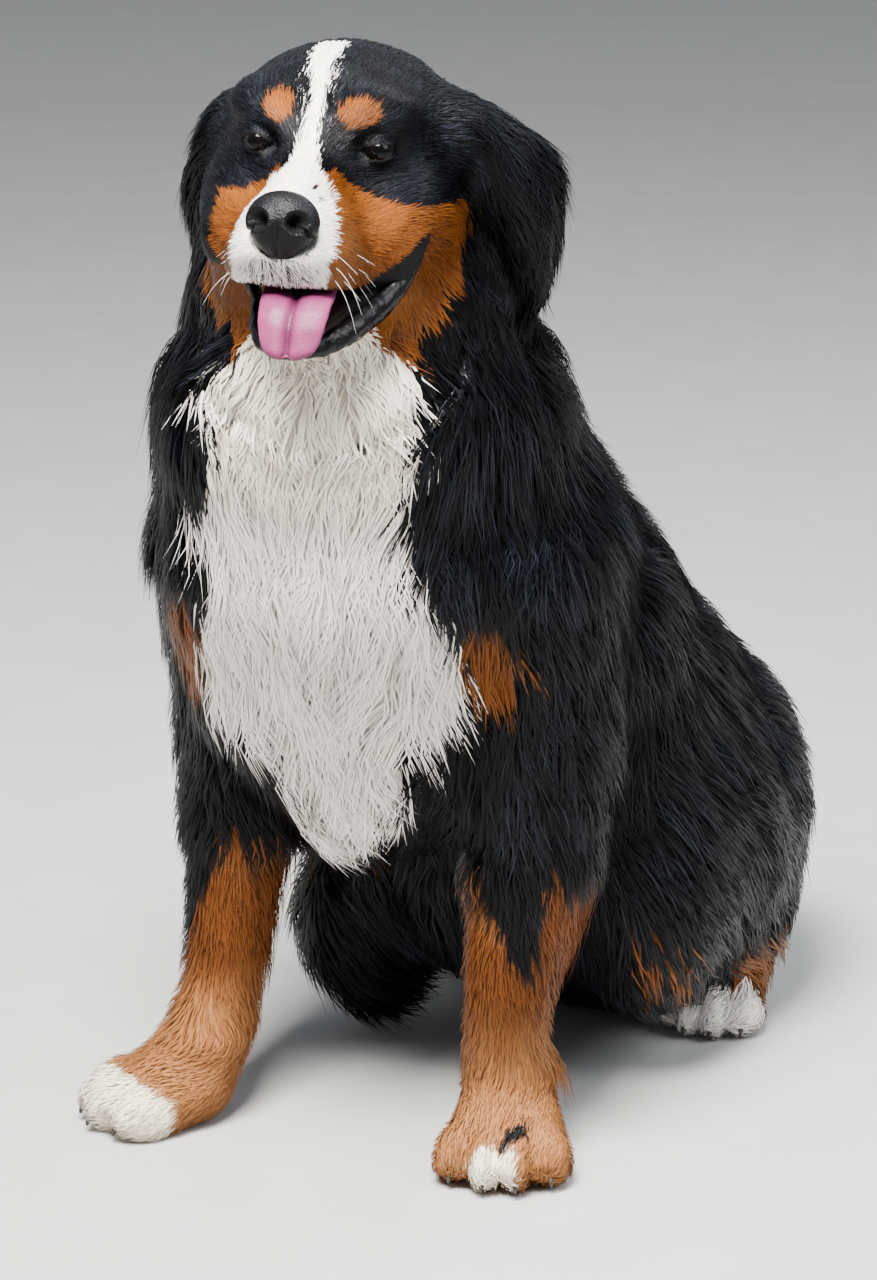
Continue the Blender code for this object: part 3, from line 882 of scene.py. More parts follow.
def lie_of_coat(points, labels, edges):
    """Which way the hair points, before it is laid down on the skin."""
    h = seen_from(points, HEAD)
    c = seen_from(points, CHEST)
    way = np.zeros_like(points)
    down = np.array((0.0, 0.0, -1.0))
    ways = {
        "belly": (0.0, 0.45, -1.0), "rump": (0.0, 0.55, -1.0), "thigh": (0.0, 0.60, -1.0),
        "upper_arm": (0.0, 0.20, -1.0), "forearm": (0.0, 0.12, -1.0),
        "tail_root": (-0.95, 0.10, -0.25), "tail_tip": (-0.60, -0.80, -0.10),
    }
    for kind, direction in ways.items():
        way[of_kind(labels, kind)] = direction
    knee = of_kind(labels, "thigh") & (points[:, 0] < 0.0) & (points[:, 1] < 0.0)
    way[knee & (points[:, 0] < -0.080)] = (-0.60, 0.10, -1.0)
    way[knee & (points[:, 0] >= -0.080)] = (0.90, 0.10, -0.70)
    trunk = of_kind(labels, "neck", "chest")
    behind = ramp(c[:, 1], -0.120, 0.080)[:, None]
    fall = np.stack([-1.6 * c[:, 0], np.full(len(c), -0.10), np.full(len(c), -1.0)], 1)
    slope = np.array((0.0, 0.70, -0.80))
    way = np.where(trunk[:, None], fall * (1 - behind) + slope * behind, way)
    for kind, heel, outward, _ in PAWS:
        angle = math.radians(outward)
        this = of_kind(labels, kind) & ((points[:, 0] > 0.05) == (heel[0] > 0.0))
        way[this] = (math.sin(angle), -math.cos(angle), -0.25)
    face = of_kind(labels, "head", "lower_jaw")
    from_nose = unit(h - np.array((0.0, -0.150, -0.035)))
    from_nose += ramp(h[:, 2], -0.050, -0.110)[:, None] * down * 1.1
    from_nose += (ramp(h[:, 1], 0.010, 0.070) * ramp(h[:, 2], 0.030, -0.020))[:, None] * down * 0.7
    ears = of_kind(labels, "ear")
    hang = unit(np.stack([0.35 * np.sign(h[:, 0]), np.full(len(h), 0.10), np.full(len(h), -1.0)], 1))
    way = np.where(face[:, None], turned_by(from_nose, HEAD), way)
    way = np.where(ears[:, None], turned_by(hang, HEAD), way)
    way = blur(unit(way), edges, 16)
    swirl = np.stack([ripple(points, 0.11, 1.0), ripple(points, 0.12, 3.0), ripple(points, 0.10, 5.0)], 1)
    wild = np.where(face | of_kind(labels, "front_paw"), 0.06, 0.20)[:, None]
    return unit(way) + wild * swirl


def hair_sizes(points, labels, edges, hair, lid):
    """Length, width, depth, number, wave and cling of the hair at each point."""
    depth, length, width, number, wave, cling = hair.T.copy()
    h = seen_from(points, HEAD)
    x, y, z = h.T
    face = of_kind(labels, "head", "lower_jaw")
    side = np.abs(x)
    throat = ramp(z, -0.116, -0.160) * ramp(y, -0.085, -0.050)
    cheek = ramp(y, 0.000, 0.065) * ramp(z, 0.020, -0.040)
    nape = ramp(y, 0.060, 0.140)
    face_length = 0.0092 + 0.012 * cheek + 0.006 * ramp(side, 0.055, 0.085) + 0.034 * throat + 0.016 * nape
    for eye in (1.0, -1.0):
        middle = np.array(EYES_MIDDLE) + np.array((eye * EYE_SIDE, -0.012, 0.0))
        away = np.linalg.norm(h - middle, axis=1)
        face_length = face_length * (0.45 + 0.55 * ramp(away, 0.010, 0.026))
    over_lip = ramp(mouth_gap(h), 0.016, 0.002) * ramp(z, -0.100, -0.092) * ramp(y, 0.010, 0.002)
    face_length = face_length * (1 - 0.60 * over_lip)
    growth = np.clip((face_length - 0.008) / 0.034, 0.0, 1.0)
    length = np.where(face, face_length, length)
    width = np.where(face, 0.00058 + 0.0008 * growth ** 0.8, width)
    number = np.where(face, 92.0 / (1 + 10.5 * growth) * (1 + 0.8 * throat), number)
    depth = np.where(face, 0.0020 + 0.0020 * cheek + 0.012 * throat + 0.004 * nape, depth)
    wave = np.where(face, 0.0002 + 0.006 * throat, wave)
    feather = of_kind(labels, "forearm") * ramp(behind_leg(points), 0.1, 0.7)
    length = length * (1 + 2.2 * feather)
    cling = cling - 0.35 * feather
    depth = depth * (1 + feather)
    sizes = np.stack([depth, length, width, number, wave, cling], 1)
    depth, length, width, number, wave, cling = blur(sizes, edges, 5).T
    beside = np.stack([side, y, z], 1)
    number = number * (1 - 0.8 * spot(beside, (0.104, 0.012, -0.170), (0.022, 0.030, 0.018), 0.5))
    cling = cling - 0.6 * spot(beside, (0.102, 0.012, -0.155), (0.040, 0.045, 0.040), 0.5)
    knee = of_kind(labels, "thigh") * ramp(points[:, 0], 0.000, -0.030) * ramp(points[:, 1], 0.000, -0.040)
    cling = cling - 0.20 * knee * (1 + 1.5 * ramp(points[:, 0], -0.085, -0.060))
    bald = np.maximum(lid, mouth_bare(h, face))
    number = number * (1 - np.clip(bald, 0, 1)) * (1 - nose_bed(h) * face)
    return depth, length, width, number, wave, cling


def behind_leg(points):
    """How far behind its leg's middle line a point on a forearm is, from -1 to 1."""
    x, y, z = points.T
    line = np.where(x > 0.06, -0.150 - 0.2 * (0.24 - z), -0.185 - 0.25 * (0.24 - z))
    return np.clip((y - line) / 0.035, -1, 1)


def nose_bed(h):
    return spot(h, NOSE_MIDDLE, (0.0260, 0.024, 0.0215), 0.06)


# The lines of the lips in the head's frame: how far back, then how high the upper lip, the lower lip
# and, on the dog's left, the edge of its bare black lip are there.
MOUTH_AT = (-0.160, -0.085, -0.060, -0.042, -0.031, -0.023, -0.010, 0.002)
UPPER_LIP = (-0.0830, -0.0875, -0.0905, -0.0880, -0.0800, -0.0700, -0.0590, -0.0560)
LOWER_LIP = (-0.1640, -0.1265, -0.1140, -0.1045, -0.0975, -0.0910, -0.0800, -0.0600)
LIP_EDGE_AT = (-0.160, -0.085, -0.048, -0.033, -0.021, -0.007, -0.002, 0.002)
LIP_EDGE = (-0.160, -0.143, -0.140, -0.131, -0.124, -0.108, -0.086, -0.060)
MOUTH_CORNER = 0.003


def mouth_gap(h, lower_at=MOUTH_AT, lower_lip=LOWER_LIP):
    """How far each point is outside the wedge between the lips."""
    upper = np.interp(h[:, 1], MOUTH_AT, UPPER_LIP)
    lower = np.interp(h[:, 1], lower_at, lower_lip)
    outside = np.maximum(h[:, 2] - upper, lower - h[:, 2])
    return np.maximum(outside, h[:, 1] - MOUTH_CORNER)


def mouth_bare(h, face):
    """The inside of the mouth, and the bare black lip that hangs below it on the dog's left."""
    inner = ramp(mouth_gap(h), 0.0032, 0.0018)
    lip = ramp(mouth_gap(h, LIP_EDGE_AT, LIP_EDGE), 0.0010, -0.0010) * ramp(h[:, 0], 0.004, 0.010)
    return face * np.maximum(inner, lip)


def unwrapped(mesh):
    """An unwrap of the skin's own shape, in patches that face one way."""
    skin = add_object(mesh, "skin_to_unwrap")
    bpy.context.view_layer.objects.active = skin
    skin.select_set(True)
    mesh.uv_layers.new(name="unwrap")
    bpy.ops.object.mode_set(mode="EDIT")
    bpy.ops.mesh.select_all(action="SELECT")
    bpy.ops.uv.smart_project(angle_limit=math.radians(75), island_margin=0.002)
    bpy.ops.object.mode_set(mode="OBJECT")
    bpy.data.objects.remove(skin, do_unlink=True)


# The pieces of the coat, and the kinds of coat in each. The head is parted once more into face, crown
# and throat, and the chest into chest and back.
REGIONS = {
    "face": ("head", "lower_jaw"),
    "crown": ("head",),
    "throat": ("head",),
    "ears": ("ear",),
    "neck": ("neck",),
    "chest": ("chest",),
    "back": ("chest",),
    "belly": ("belly",),
    "rump": ("rump",),
    "arms": ("upper_arm",),
    "thighs": ("thigh",),
    "forelegs": ("forearm", "front_paw"),
    "hind_feet": ("hind_foot",),
    "tail": ("tail_root", "tail_tip"),
}


def region_of_faces(mesh, points, labels):
    """Each face's coat piece, as a number."""
    names = list(REGIONS)
    corner = np.array([face.vertices[0] for face in mesh.polygons])
    points, labels = points[corner], labels[corner]
    region = np.zeros(len(corner), np.int32)
    for number, name in enumerate(names):
        region[of_kind(labels, *REGIONS[name])] = number
    h = seen_from(points, HEAD)
    head = of_kind(labels, "head", "lower_jaw")
    region[head & (h[:, 1] < 0.020)] = names.index("face")
    region[head & (h[:, 1] >= 0.020)] = names.index("crown")
    region[head & (h[:, 2] < -0.122) & (h[:, 1] > -0.080)] = names.index("throat")
    c = seen_from(points, CHEST)
    region[of_kind(labels, "chest") & (c[:, 1] < -0.050)] = names.index("chest")
    return region


# The coat

def coat_tree(name, segments):
    """Tufts rooted on the skin, combed along it, waved and bent round the body."""
    group = bpy.data.node_groups.new(name, "GeometryNodeTree")

    def socket(label, kind, way="INPUT"):
        return group.interface.new_socket(name=label, in_out=way, socket_type="NodeSocket" + kind)

    inputs = {"Skin": "Geometry", "Region": "Int", "Seed": "Int", "Fullness": "Float", "Locks": "Float",
              "Grip": "Float"}
    sockets = {label: socket(label, kind) for label, kind in inputs.items()}
    socket("Tufts", "Geometry", "OUTPUT")
    bench = Workbench(group)
    given = group.nodes.new("NodeGroupInput")
    skin, region, seed, fullness, locks, grip = (Term(group, given.outputs[label]) for label in sockets)

    def named(label, kind="FLOAT"):
        return bench.add("GeometryNodeInputNamedAttribute", {"data_type": kind}, {"Name": label})

    def vectors(label):
        return named(label, "FLOAT_VECTOR")

    def keep(geometry, label, value, kind=None, domain="POINT"):
        kind = kind or ("FLOAT_VECTOR" if is_vector(value) else "FLOAT")
        return bench.add("GeometryNodeStoreNamedAttribute", {"data_type": kind, "domain": domain},
                         {"Geometry": geometry, "Name": label, "Value": value})

    def chance(low, high, step):
        return bench.add("FunctionNodeRandomValue", {"data_type": "FLOAT"},
                         {"Min": low, "Max": high, "Seed": seed * 7 + step})

    # Roots, each with its own length, height, shade and hold, and the middle of the lock it belongs to.
    place = bench.add("GeometryNodeInputPosition")
    here_only = bench.add("FunctionNodeCompare", {"data_type": "INT", "operation": "EQUAL"},
                          {"A": named("region", "INT"), "B": region})
    roots = bench.add("GeometryNodeDistributePointsOnFaces", None,
                      {"Mesh": skin, "Selection": here_only, "Density": named("number") * fullness,
                       "Seed": seed}, "Points")
    roots = keep(roots, "root", place)
    roots = keep(roots, "reach", named("length") * chance(0.70, 1.20, 1))
    lock = bench.add("ShaderNodeTexVoronoi", None, {"Vector": place, "Scale": locks}, "Position")
    roots = keep(roots, "lock", lock)
    tone = bench.noise(lock, 31.0, 1.0)
    full = ((bench.noise(lock, 57.0, 1.0) - 0.5) * 2.4 + 0.7).clamped()
    roots = keep(roots, "rise", named("depth") * chance(0.30, 1.0, 2) * (0.35 + full * 0.75))
    roots = keep(roots, "shade", (chance(0.0, 0.8, 3) + ((tone - 0.5) * 1.6 + 0.1)).clamped())
    roots = keep(roots, "stray", chance(-1.0, 1.0, 4))
    wisp = (chance(0.0, 1.0, 8) > 0.965) * named("length") * 6.0
    roots = keep(roots, "hold", (named("cling") + chance(-0.18, 0.12, 5) - wisp).clamped())
    roots = keep(roots, "white", named("white") > chance(0.25, 0.75, 6))
    roots = keep(roots, "rust", named("rust") > chance(0.25, 0.75, 7))

    # A tuft is a slender cone: X across it, Y its thickness, Z from root to tip.
    tuft = bench.add("GeometryNodeMeshCone", {"fill_type": "NGON"},
                     {"Vertices": 3, "Side Segments": segments, "Radius Top": 0.0, "Radius Bottom": 1.0,
                      "Depth": 1.0}, "Mesh")
    tufts = bench.add("GeometryNodeInstanceOnPoints", None, {"Points": roots, "Instance": tuft})
    tufts = bench.add("GeometryNodeRealizeInstances", None, {"Geometry": tufts})
    root = vectors("root")
    tufts = keep(tufts, "inner", place - root)
    inner = vectors("inner")
    tufts = keep(tufts, "along", inner.part("Z"))
    along = named("along")
    across, thick = inner.part("X"), inner.part("Y")
    shade = named("shade")
    tufts = keep(tufts, "strand", bench.vector(across, along * 0.35, shade * 40.0))
    patch = vectors("unwrap") + bench.vector((along - 0.5) * 0.003, thick * 0.0015, 0.0)
    tufts = keep(tufts, "OFBake", patch, "FLOAT2", "CORNER")

    # The track of a tuft along the skin, waving and drawn towards the middle of its lock.
    up = vectors("up").unit()
    comb = vectors("comb")
    lie = (comb - up * comb.dot(up)).unit()
    side = up.cross(lie)
    stray = named("stray")
    lock = vectors("lock")
    sway = bench.noise(lock, 17.0, 1.0) - 0.5
    lie = (lie + side * (stray * 0.16 + sway * 1.1)).unit()
    reach, wave = named("reach"), named("wave")
    phase = bench.noise(lock, 23.0, 0.0) * 4.0 + stray * 0.05
    swing = ((along * 1.1 + phase) * (2 * math.pi)).sine() * wave * along
    drawn = (lock - root).dot(side) * grip * (0.75 + stray * 0.25) * along
    track = root + lie * (reach * along) + side * (swing + drawn)

    # The track lies close along the body or hangs free, as the tuft's hold says.
    foot = bench.add("GeometryNodeProximity", {"target_element": "FACES"},
                     {"Geometry": skin, "Sample Position": track}, "Position")
    lift = bench.add("GeometryNodeSampleNearestSurface", {"data_type": "FLOAT_VECTOR"},
                     {"Mesh": skin, "Value": vectors("up"), "Sample Position": track})
    profile = 1.0 - (1.0 - along) * (1.0 - along)
    height = named("rise") * profile
    close = foot + lift * height
    free = track + up * height + bench.vector(0.0, 0.0, reach * along * along * -0.16)
    middle = bench.mix(named("hold"), free, close, "VECTOR")
    girth = named("width") * (1.0 + along * 1.9)
    shaped = middle + side * (across * girth) + lift * (thick * girth * 0.30)
    shaped = shaped.most(Vector((-9.0, -9.0, LOWEST_HAIR)))
    soft = lift + side * (across * 0.70 + stray * 0.20) + lie * (0.20 + shade * 0.20)
    tufts = keep(tufts, "soft", soft)
    tufts = bench.add("GeometryNodeSetPosition", None, {"Geometry": tufts, "Position": shaped})
    tufts = bench.add("GeometryNodeSetShadeSmooth", None, {"Geometry": tufts})
    tufts = bench.add("GeometryNodeSetMeshNormal", {"mode": "FREE", "domain": "POINT"},
                      {"Mesh": tufts, "Custom Normal": vectors("soft").unit()})
    tufts = bench.add("GeometryNodeSetMaterial", None, {"Geometry": tufts, "Material": COAT})
    bench.add("NodeGroupOutput", None, {"Tufts": tufts})
    return group, {label: socket.identifier for label, socket in sockets.items()}


# Values that the coat's finish doesn't read.
WORKING_VALUES = ("root", "reach", "rise", "stray", "hold", "inner", "comb", "up", "length", "depth", "width",
                  "number", "wave", "cling", "unwrap", "bare", "inside", "region", "lock", "soft", "grain")
# How many lengths a tuft is made of, so that long hair can bend.
STUBBLE, SHORT_HAIR, LONG_HAIR = 1, 2, 3
SEGMENTS = {"face": STUBBLE, "throat": LONG_HAIR, "ears": LONG_HAIR, "chest": LONG_HAIR}
# Pieces whose tufts are fewer than COATS says.
FULLNESS = {"crown": 0.93, "back": 0.90, "belly": 0.93, "forelegs": 0.96, "arms": 0.96}
# How many locks there are across a metre, and how hard the tufts are drawn into them.
CLOSE_LOCKS = (110.0, 0.35)
BODY_LOCKS = (42.0, 0.85)
LOCKS = {"face": CLOSE_LOCKS, "crown": CLOSE_LOCKS, "forelegs": CLOSE_LOCKS, "hind_feet": CLOSE_LOCKS,
         "chest": (30.0, 0.95), "throat": (34.0, 0.95)}


def grow(skin_mesh, name, trees, share):
    """One piece of the coat, with that share of its tufts."""
    group, keys = trees[SEGMENTS.get(name, SHORT_HAIR)]
    holder = add_object(skin_mesh, "holder")
    combing = holder.modifiers.new("comb", "NODES")
    combing.node_group = group
    number = list(REGIONS).index(name)
    combing[keys["Region"]] = number
    combing[keys["Fullness"]] = FULLNESS.get(name, 1.0) * share
    combing[keys["Seed"]] = SEED + number
    combing[keys["Locks"]], combing[keys["Grip"]] = LOCKS.get(name, BODY_LOCKS)
    mesh = frozen(holder)
    without(mesh, WORKING_VALUES)
    return present(mesh, "coat_" + name, COAT)


# Eyes, nose, tongue, lips, claws and whiskers

def globe(radii, segments, place):
    """A closed ball mesh in a frame."""
    shape = bmesh.new()
    bmesh.ops.create_uvsphere(shape, u_segments=segments, v_segments=segments * 3 // 4, radius=1.0)
    mesh = mesh_of(shape, "globe")
    mesh.transform(place @ Matrix.Diagonal((*radii, 1.0)))
    smooth(mesh)
    return mesh


def eyeball(side, node):
    """An eyeball whose cornea stands out a little."""
    place = eye_place(side)
    gaze = place @ Matrix.Rotation(math.radians(90), 4, "X")
    mesh = globe([EYE_RADIUS] * 3, 48, gaze)
    points = points_of(mesh)
    p = seen_from(points, place)
    ring = np.degrees(np.arccos(np.clip(-p[:, 1] / EYE_RADIUS, -1, 1))) / 40.0
    bulge = 0.0009 * np.clip(1 - ring ** 2, 0, 1)
    points += turned_by(unit(p), place) * bulge[:, None]
    put_points(mesh, points)
    store(mesh, "ring", ring)
    smooth(mesh)
    return present(mesh, node, EYE, [node])


NOSTRIL_SIDE = 0.0140
NOSTRIL_HEIGHT = 0.0020


def nose_piece():
    """The nose leather, with nostrils, the slits beside them and the flute between."""
    place = HEAD @ Matrix.Translation(NOSE_MIDDLE) @ Matrix.Rotation(math.radians(-8), 4, "X")
    mesh = globe((1.0, 1.0, 1.0), 128, Matrix.Identity(4))
    p = points_of(mesh)
    x, _, z = p.T
    radii = np.array((0.0258, 0.0185, 0.0222))
    square = 1.0 + 0.10 * (1 - np.abs(x) ** 4)
    q = p * radii
    q[:, 0] *= 1.0 + 0.10 * np.clip(z + 0.1, -1, 1) - 0.20 * np.clip(-z - 0.2, 0, 1)
    q[:, 2] *= square * 0.97
    front = ramp(q[:, 1], -0.002, -0.009)
    across = np.abs(q[:, 0])
    beside, above = across - NOSTRIL_SIDE, q[:, 2] - NOSTRIL_HEIGHT
    hole = np.exp(-((beside / 0.0058) ** 2 + (above / 0.0060) ** 2) ** 1.6)
    slit_line = -0.0035 - 0.0022 * (beside / 0.006) ** 2
    slit = hill((above - slit_line) / 0.0020)
    slit *= ramp(across, 0.0135, 0.0170) * ramp(across, 0.0262, 0.0225)
    rim = hill((np.hypot(beside / 1.1, above) - 0.0082) / 0.0022)
    flute = hill(across / 0.0012) * ramp(q[:, 2], 0.004, -0.004)
    inward = 0.0110 * hole * front + 0.0040 * slit + 0.0016 * flute * front - 0.0012 * rim * front
    q = q - unit(p) * inward[:, None]
    put_points(mesh, q)
    # hollow marks the nostrils and slits, which the nose's finish paints darker as painted shade in the
    # holes.
    store(mesh, "hollow", np.clip(1.5 * hole * front + slit * 0.8, 0, 1))
    mesh.transform(place)
    smooth(mesh)
    return present(mesh, "nose", NOSE, ["nose"])


TONGUE_ROOT_SIDE = 0.0070


def tongue_piece():
    """The tongue out over the lower lip: rounded at its tip, with a groove along its middle."""
    mesh = melted([cad_copy("tongue")], 0.0014)
    edges = edges_of(mesh)
    points = blur(points_of(mesh), edges, 8)
    h = seen_from(points, HEAD)
    middle = TONGUE_ROOT_SIDE + 0.0065 * ramp(h[:, 1], -0.040, -0.105)
    u = h[:, 0] - TONGUE_ROOT_SIDE
    fall = np.clip((-0.112 - h[:, 2]) / 0.026, 0, 1)
    rounding = 0.93 * np.sqrt(np.clip(1 - (0.80 * fall) ** 2.6, 0.05, 1)) - 1
    lobes = 0.0022 * fall * hill(u / 0.004)
    cup = 0.16 * np.abs(u) * ramp(h[:, 1], -0.050, -0.100)
    shift = np.stack([u * rounding + middle - TONGUE_ROOT_SIDE, np.zeros_like(u), lobes + cup], 1)
    points = points + turned_by(shift, HEAD)
    h = seen_from(points, HEAD)
    put_points(mesh, points)
    u = h[:, 0] - middle
    facing = seen_from(points + normals_of(mesh), HEAD) - h
    upper = ramp(facing[:, 2] * 0.5 - facing[:, 1] * 0.9, 0.1, 0.6)
    groove = hill(u / 0.0030)
    tip = ramp(h[:, 2], -0.110, -0.130)
    inward = 0.0026 * groove * upper + 0.0020 * tip * hill(u / 0.004)
    swell = 0.0012 * hill((np.abs(u) - 0.012) / 0.007) * upper
    points = points - normals_of(mesh) * (inward - swell)[:, None]
    put_points(mesh, points)
    # groove marks the middle groove, which the tongue's finish paints darker as painted shade.
    store(mesh, "groove", groove * upper)
    smooth(mesh)
    return present(mesh, "tongue", TONGUE, ["tongue"])


TUBE_STEPS = 8


def tube(path, radii, sides=14, flat=1.0):
    """A closed tapering tube through points, with finer steps between them."""
    path = [Vector(point) for point in path]
    line, sizes = [], []
    for i in range(len(path) - 1):
        before = path[max(i - 1, 0)]
        after = path[min(i + 2, len(path) - 1)]
        for k in range(TUBE_STEPS):
            t = k / TUBE_STEPS
            a, b = path[i], path[i + 1]
            line.append(0.5 * ((2 * a) + (b - before) * t + (2 * before - 5 * a + 4 * b - after) * t * t
                               + (3 * a - before - 3 * b + after) * t ** 3))
            sizes.append(radii[i] + (radii[i + 1] - radii[i]) * t)
    line.append(path[-1])
    sizes.append(radii[-1])
    shape = bmesh.new()
    rings = []
    for i, (point, size) in enumerate(zip(line, sizes)):
        ahead = (line[min(i + 1, len(line) - 1)] - line[max(i - 1, 0)]).normalized()
        across = ahead.cross(Vector((0.0, 0.0, 1.0))).normalized()
        rise = across.cross(ahead)
        ring = []
        for k in range(sides):
            angle = 2 * math.pi * k / sides
            out = math.cos(angle) * across * flat + math.sin(angle) * rise
            ring.append(shape.verts.new(point + size * out))
        rings.append(ring)
    for one, two in zip(rings, rings[1:]):
        for k in range(sides):
            shape.faces.new((one[k], one[(k + 1) % sides], two[(k + 1) % sides], two[k]))
    shape.faces.new(rings[0][::-1])
    shape.faces.new(rings[-1])
    bmesh.ops.recalc_face_normals(shape, faces=shape.faces)
    return shape


def gathered(shapes, place):
    """Several shapes as one mesh, moved into a frame."""
    mesh = joined(shapes, "gathered")
    mesh.transform(place)
    smooth(mesh)
    return mesh


# The left half of the lower lip, from the corner of the mouth to the chin, and its half thickness.
LIP_LINE = (
    (0.074, 0.000, -0.066), (0.0715, -0.004, -0.079), (0.0655, -0.013, -0.093),
    (0.056, -0.031, -0.1065), (0.048, -0.050, -0.1155), (0.040, -0.065, -0.1225),
    (0.030, -0.076, -0.128), (0.016, -0.086, -0.131), (0.0, -0.089, -0.132),
)
LIP_THICKNESS = (0.0040, 0.0070, 0.0085, 0.0095, 0.0095, 0.0088, 0.0078, 0.0068, 0.0064)


def lower_lips():
    """The loose black lip round the lower jaw."""
    right = np.array(LIP_LINE)
    right[:, 0] *= -1 + JAW_SWING * ramp(right[:, 1], 0.020, -0.030)
    path = list(LIP_LINE) + right[-2::-1].tolist()
    sizes = list(LIP_THICKNESS) + [0.6 * size for size in LIP_THICKNESS[-2::-1]]
    mesh = gathered([tube(path, sizes, 18, 0.8)], HEAD)
    points = points_of(mesh)
    points += normals_of(mesh) * (0.0009 * ripple(points, 0.014))[:, None]
    put_points(mesh, points)
    smooth(mesh)
    return present(mesh, "lower_lips", LIP)


# A claw's middle line, ahead (negative) and up from its root, and its half thickness there.
CLAW_LINE = ((0.0, 0.0), (-0.005, -0.001), (-0.009, -0.004), (-0.0105, -0.008))
CLAW_THICKNESS = (0.0034, 0.0032, 0.0024, 0.0010)
WHISKER_THICKNESS = (0.00013, 0.00012, 0.00009, 0.00004)


def claws():
    """Short blunt claws that just clear the hair of the toes."""
    shapes = []
    for _, heel, outward, size in PAWS:
        foot = placed(heel, (0.0, 0.0, outward)) @ Matrix.Scale(size, 4)
        for toe in TOES:
            root = Vector((TOE_SPREAD * toe, -0.084 + 0.007 * toe * toe, 0.014))
            aim = Matrix.Rotation(math.radians(8 * toe), 3, "Z")
            line = [foot @ (root + aim @ Vector((0.0, ahead, rise))) for ahead, rise in CLAW_LINE]
            shapes.append(tube(line, CLAW_THICKNESS, 8, 0.8))
    mesh = gathered(shapes, Matrix.Identity(4))
    return present(mesh, "claws", CLAW)


def whiskers():
    """A few long stiff hairs from the whisker pads."""
    chance = np.random.default_rng(SEED)
    shapes = []
    for side in (1.0, -1.0):
        for row in range(3):
            for place in range(5):
                across = 0.003 + side * (0.029 + 0.003 * row)
                root = Vector((across, -0.088 + 0.011 * place, -0.058 - 0.010 * row))
                sideways = side * chance.uniform(0.6, 1.0)
                backward = -0.35 + 0.20 * place + chance.uniform(-0.2, 0.2)
                upward = -0.25 - 0.22 * row + chance.uniform(-0.25, 0.20)
                out = Vector((sideways, backward, upward)).normalized()
                length = chance.uniform(0.014, 0.036)
                bend = Vector((side * -0.15, 0.15, chance.uniform(-0.45, -0.05))) * length
                line = [root + out * (length * t) + bend * t * t for t in (-0.15, 0.3, 0.65, 1.0)]
                if chance.random() < 0.75:
                    shapes.append(tube(line, WHISKER_THICKNESS, 4))
    mesh = gathered(shapes, HEAD)
    return present(mesh, "whiskers", WHISKER)


# Studio

# Each lamp: degrees round from the dog's front to its left and above the level, metres away, its width,
# watts and colour.
LAMPS = {
    "key": (16.0, 58.0, 2.6, 1.2, 540.0, (1.0, 0.985, 0.96)),
    "fill": (95.0, 35.0, 3.0, 1.8, 90.0, (0.92, 0.96, 1.0)),
    "rim": (170.0, 50.0, 2.8, 1.2, 50.0, (0.90, 0.95, 1.0)),
}
LAMPS_AIM = Vector((0.0, 0.0, 0.45))
SKY = (0.80, 0.84, 0.90, 1.0)
SKY_STRENGTH = 0.55
FLOOR_SIZE = 14.0


def aimed(data, target, turn, rise, distance):
    """A camera or lamp that looks at a target, from degrees round and up and so many metres away."""
    turn, rise = math.radians(turn), math.radians(rise)
    back = Vector((math.sin(turn) * math.cos(rise), -math.cos(turn) * math.cos(rise), math.sin(rise)))
    thing = add_object(data, data.name)
    thing.location = target + back * distance
    thing.rotation_euler = back.to_track_quat("Z", "Y").to_euler()
    return thing


def camera():
    lens = bpy.data.cameras.new("camera")
    lens.lens = LENS
    lens.sensor_width = SENSOR
    lens.clip_end = 50.0
    bpy.context.scene.camera = aimed(lens, CAMERA_AIM, CAMERA_TURN, CAMERA_RISE, CAMERA_DISTANCE)


def lamp(name, turn, rise, distance, size, power, colour):
    light = bpy.data.lights.new(name, "AREA")
    light.size = size
    light.energy = power
    light.color = colour
    aimed(light, LAMPS_AIM, turn, rise, distance)


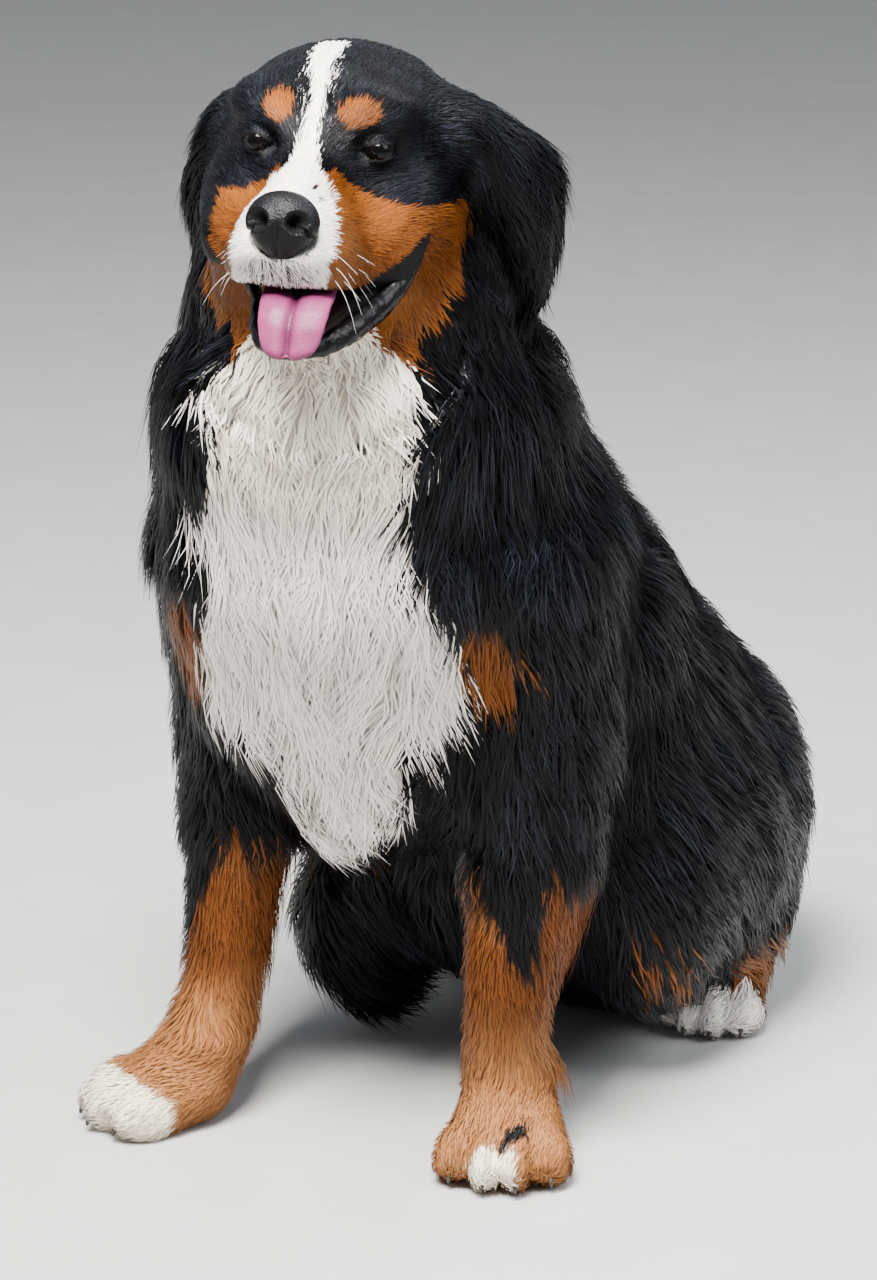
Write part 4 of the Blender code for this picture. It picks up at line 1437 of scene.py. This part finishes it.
def studio():
    world = bpy.data.worlds.new("studio")
    bpy.context.scene.world = world
    world.use_nodes = True
    background = world.node_tree.nodes["Background"]
    background.inputs["Color"].default_value = SKY
    background.inputs["Strength"].default_value = SKY_STRENGTH
    for name, values in LAMPS.items():
        lamp(name, *values)
    shape = bmesh.new()
    bmesh.ops.create_grid(shape, x_segments=2, y_segments=2, size=FLOOR_SIZE)
    mesh = mesh_of(shape, "floor")
    mesh.materials.append(FLOOR)
    add_object(mesh, "floor")


# Square centimetres in a square metre.
CENTIMETRES_IN_METRE = 10000.0
# Values that the skin's finish reads.
SKIN_VALUES = ("white", "rust", "pale", "bare", "inside", "grain")


def dog():
    """The skin with its markings, and the coat that grows on it."""
    mesh, points, edges, labels, hair, lid = build_skin()
    h = seen_from(points, HEAD)
    face = of_kind(labels, "head", "lower_jaw")
    sizes = hair_sizes(points, labels, edges, hair, lid)
    lie = lie_of_coat(points, labels, edges)
    up = normals_of(mesh)
    flat = unit(lie - up * np.sum(lie * up, axis=1, keepdims=True))
    seen_at = points + flat * (0.5 * sizes[1])[:, None] + up * (0.5 * sizes[0])[:, None]
    white, rust, pale = markings(seen_at, labels)
    mouth = mouth_bare(h, face)
    away = h - np.array((0.0, -0.130, -0.035))
    reach = np.linalg.norm(away, axis=1, keepdims=True)
    grain = np.where(face[:, None], away / reach * (170.0 + 110.0 * reach), points * 900.0)
    values = dict(zip(("depth", "length", "width", "number", "wave", "cling"), sizes))
    values["number"] = values["number"] * CENTIMETRES_IN_METRE
    # inside marks the inside of the mouth, which the skin's finish paints dark, partly as painted shade.
    values.update(white=white, rust=rust, pale=pale, bare=np.maximum(lid, mouth), grain=grain, up=up,
                  comb=lie, inside=mouth * ramp(np.abs(h[:, 0]), 0.040, 0.030))
    for name, value in values.items():
        store(mesh, name, value)
    store(mesh, "region", region_of_faces(mesh, points, labels), "FACE")
    unwrapped(mesh)
    trees = {count: coat_tree("tufts_%d" % count, count) for count in (STUBBLE, SHORT_HAIR, LONG_HAIR)}
    share = 1.0
    for name in REGIONS:
        grow(mesh, name, trees, share)
    without(mesh, [value for value in WORKING_VALUES if value not in SKIN_VALUES])
    skin = thinned(mesh, SKIN_TRIANGLES, SKIN_VALUES)
    smooth(skin)
    present(skin, "skin", SKIN, FLESH)


camera()
studio()
dog()
eyeball(1.0, "eye_left")
eyeball(-1.0, "eye_right")
nose_piece()
tongue_piece()
lower_lips()
claws()
whiskers()
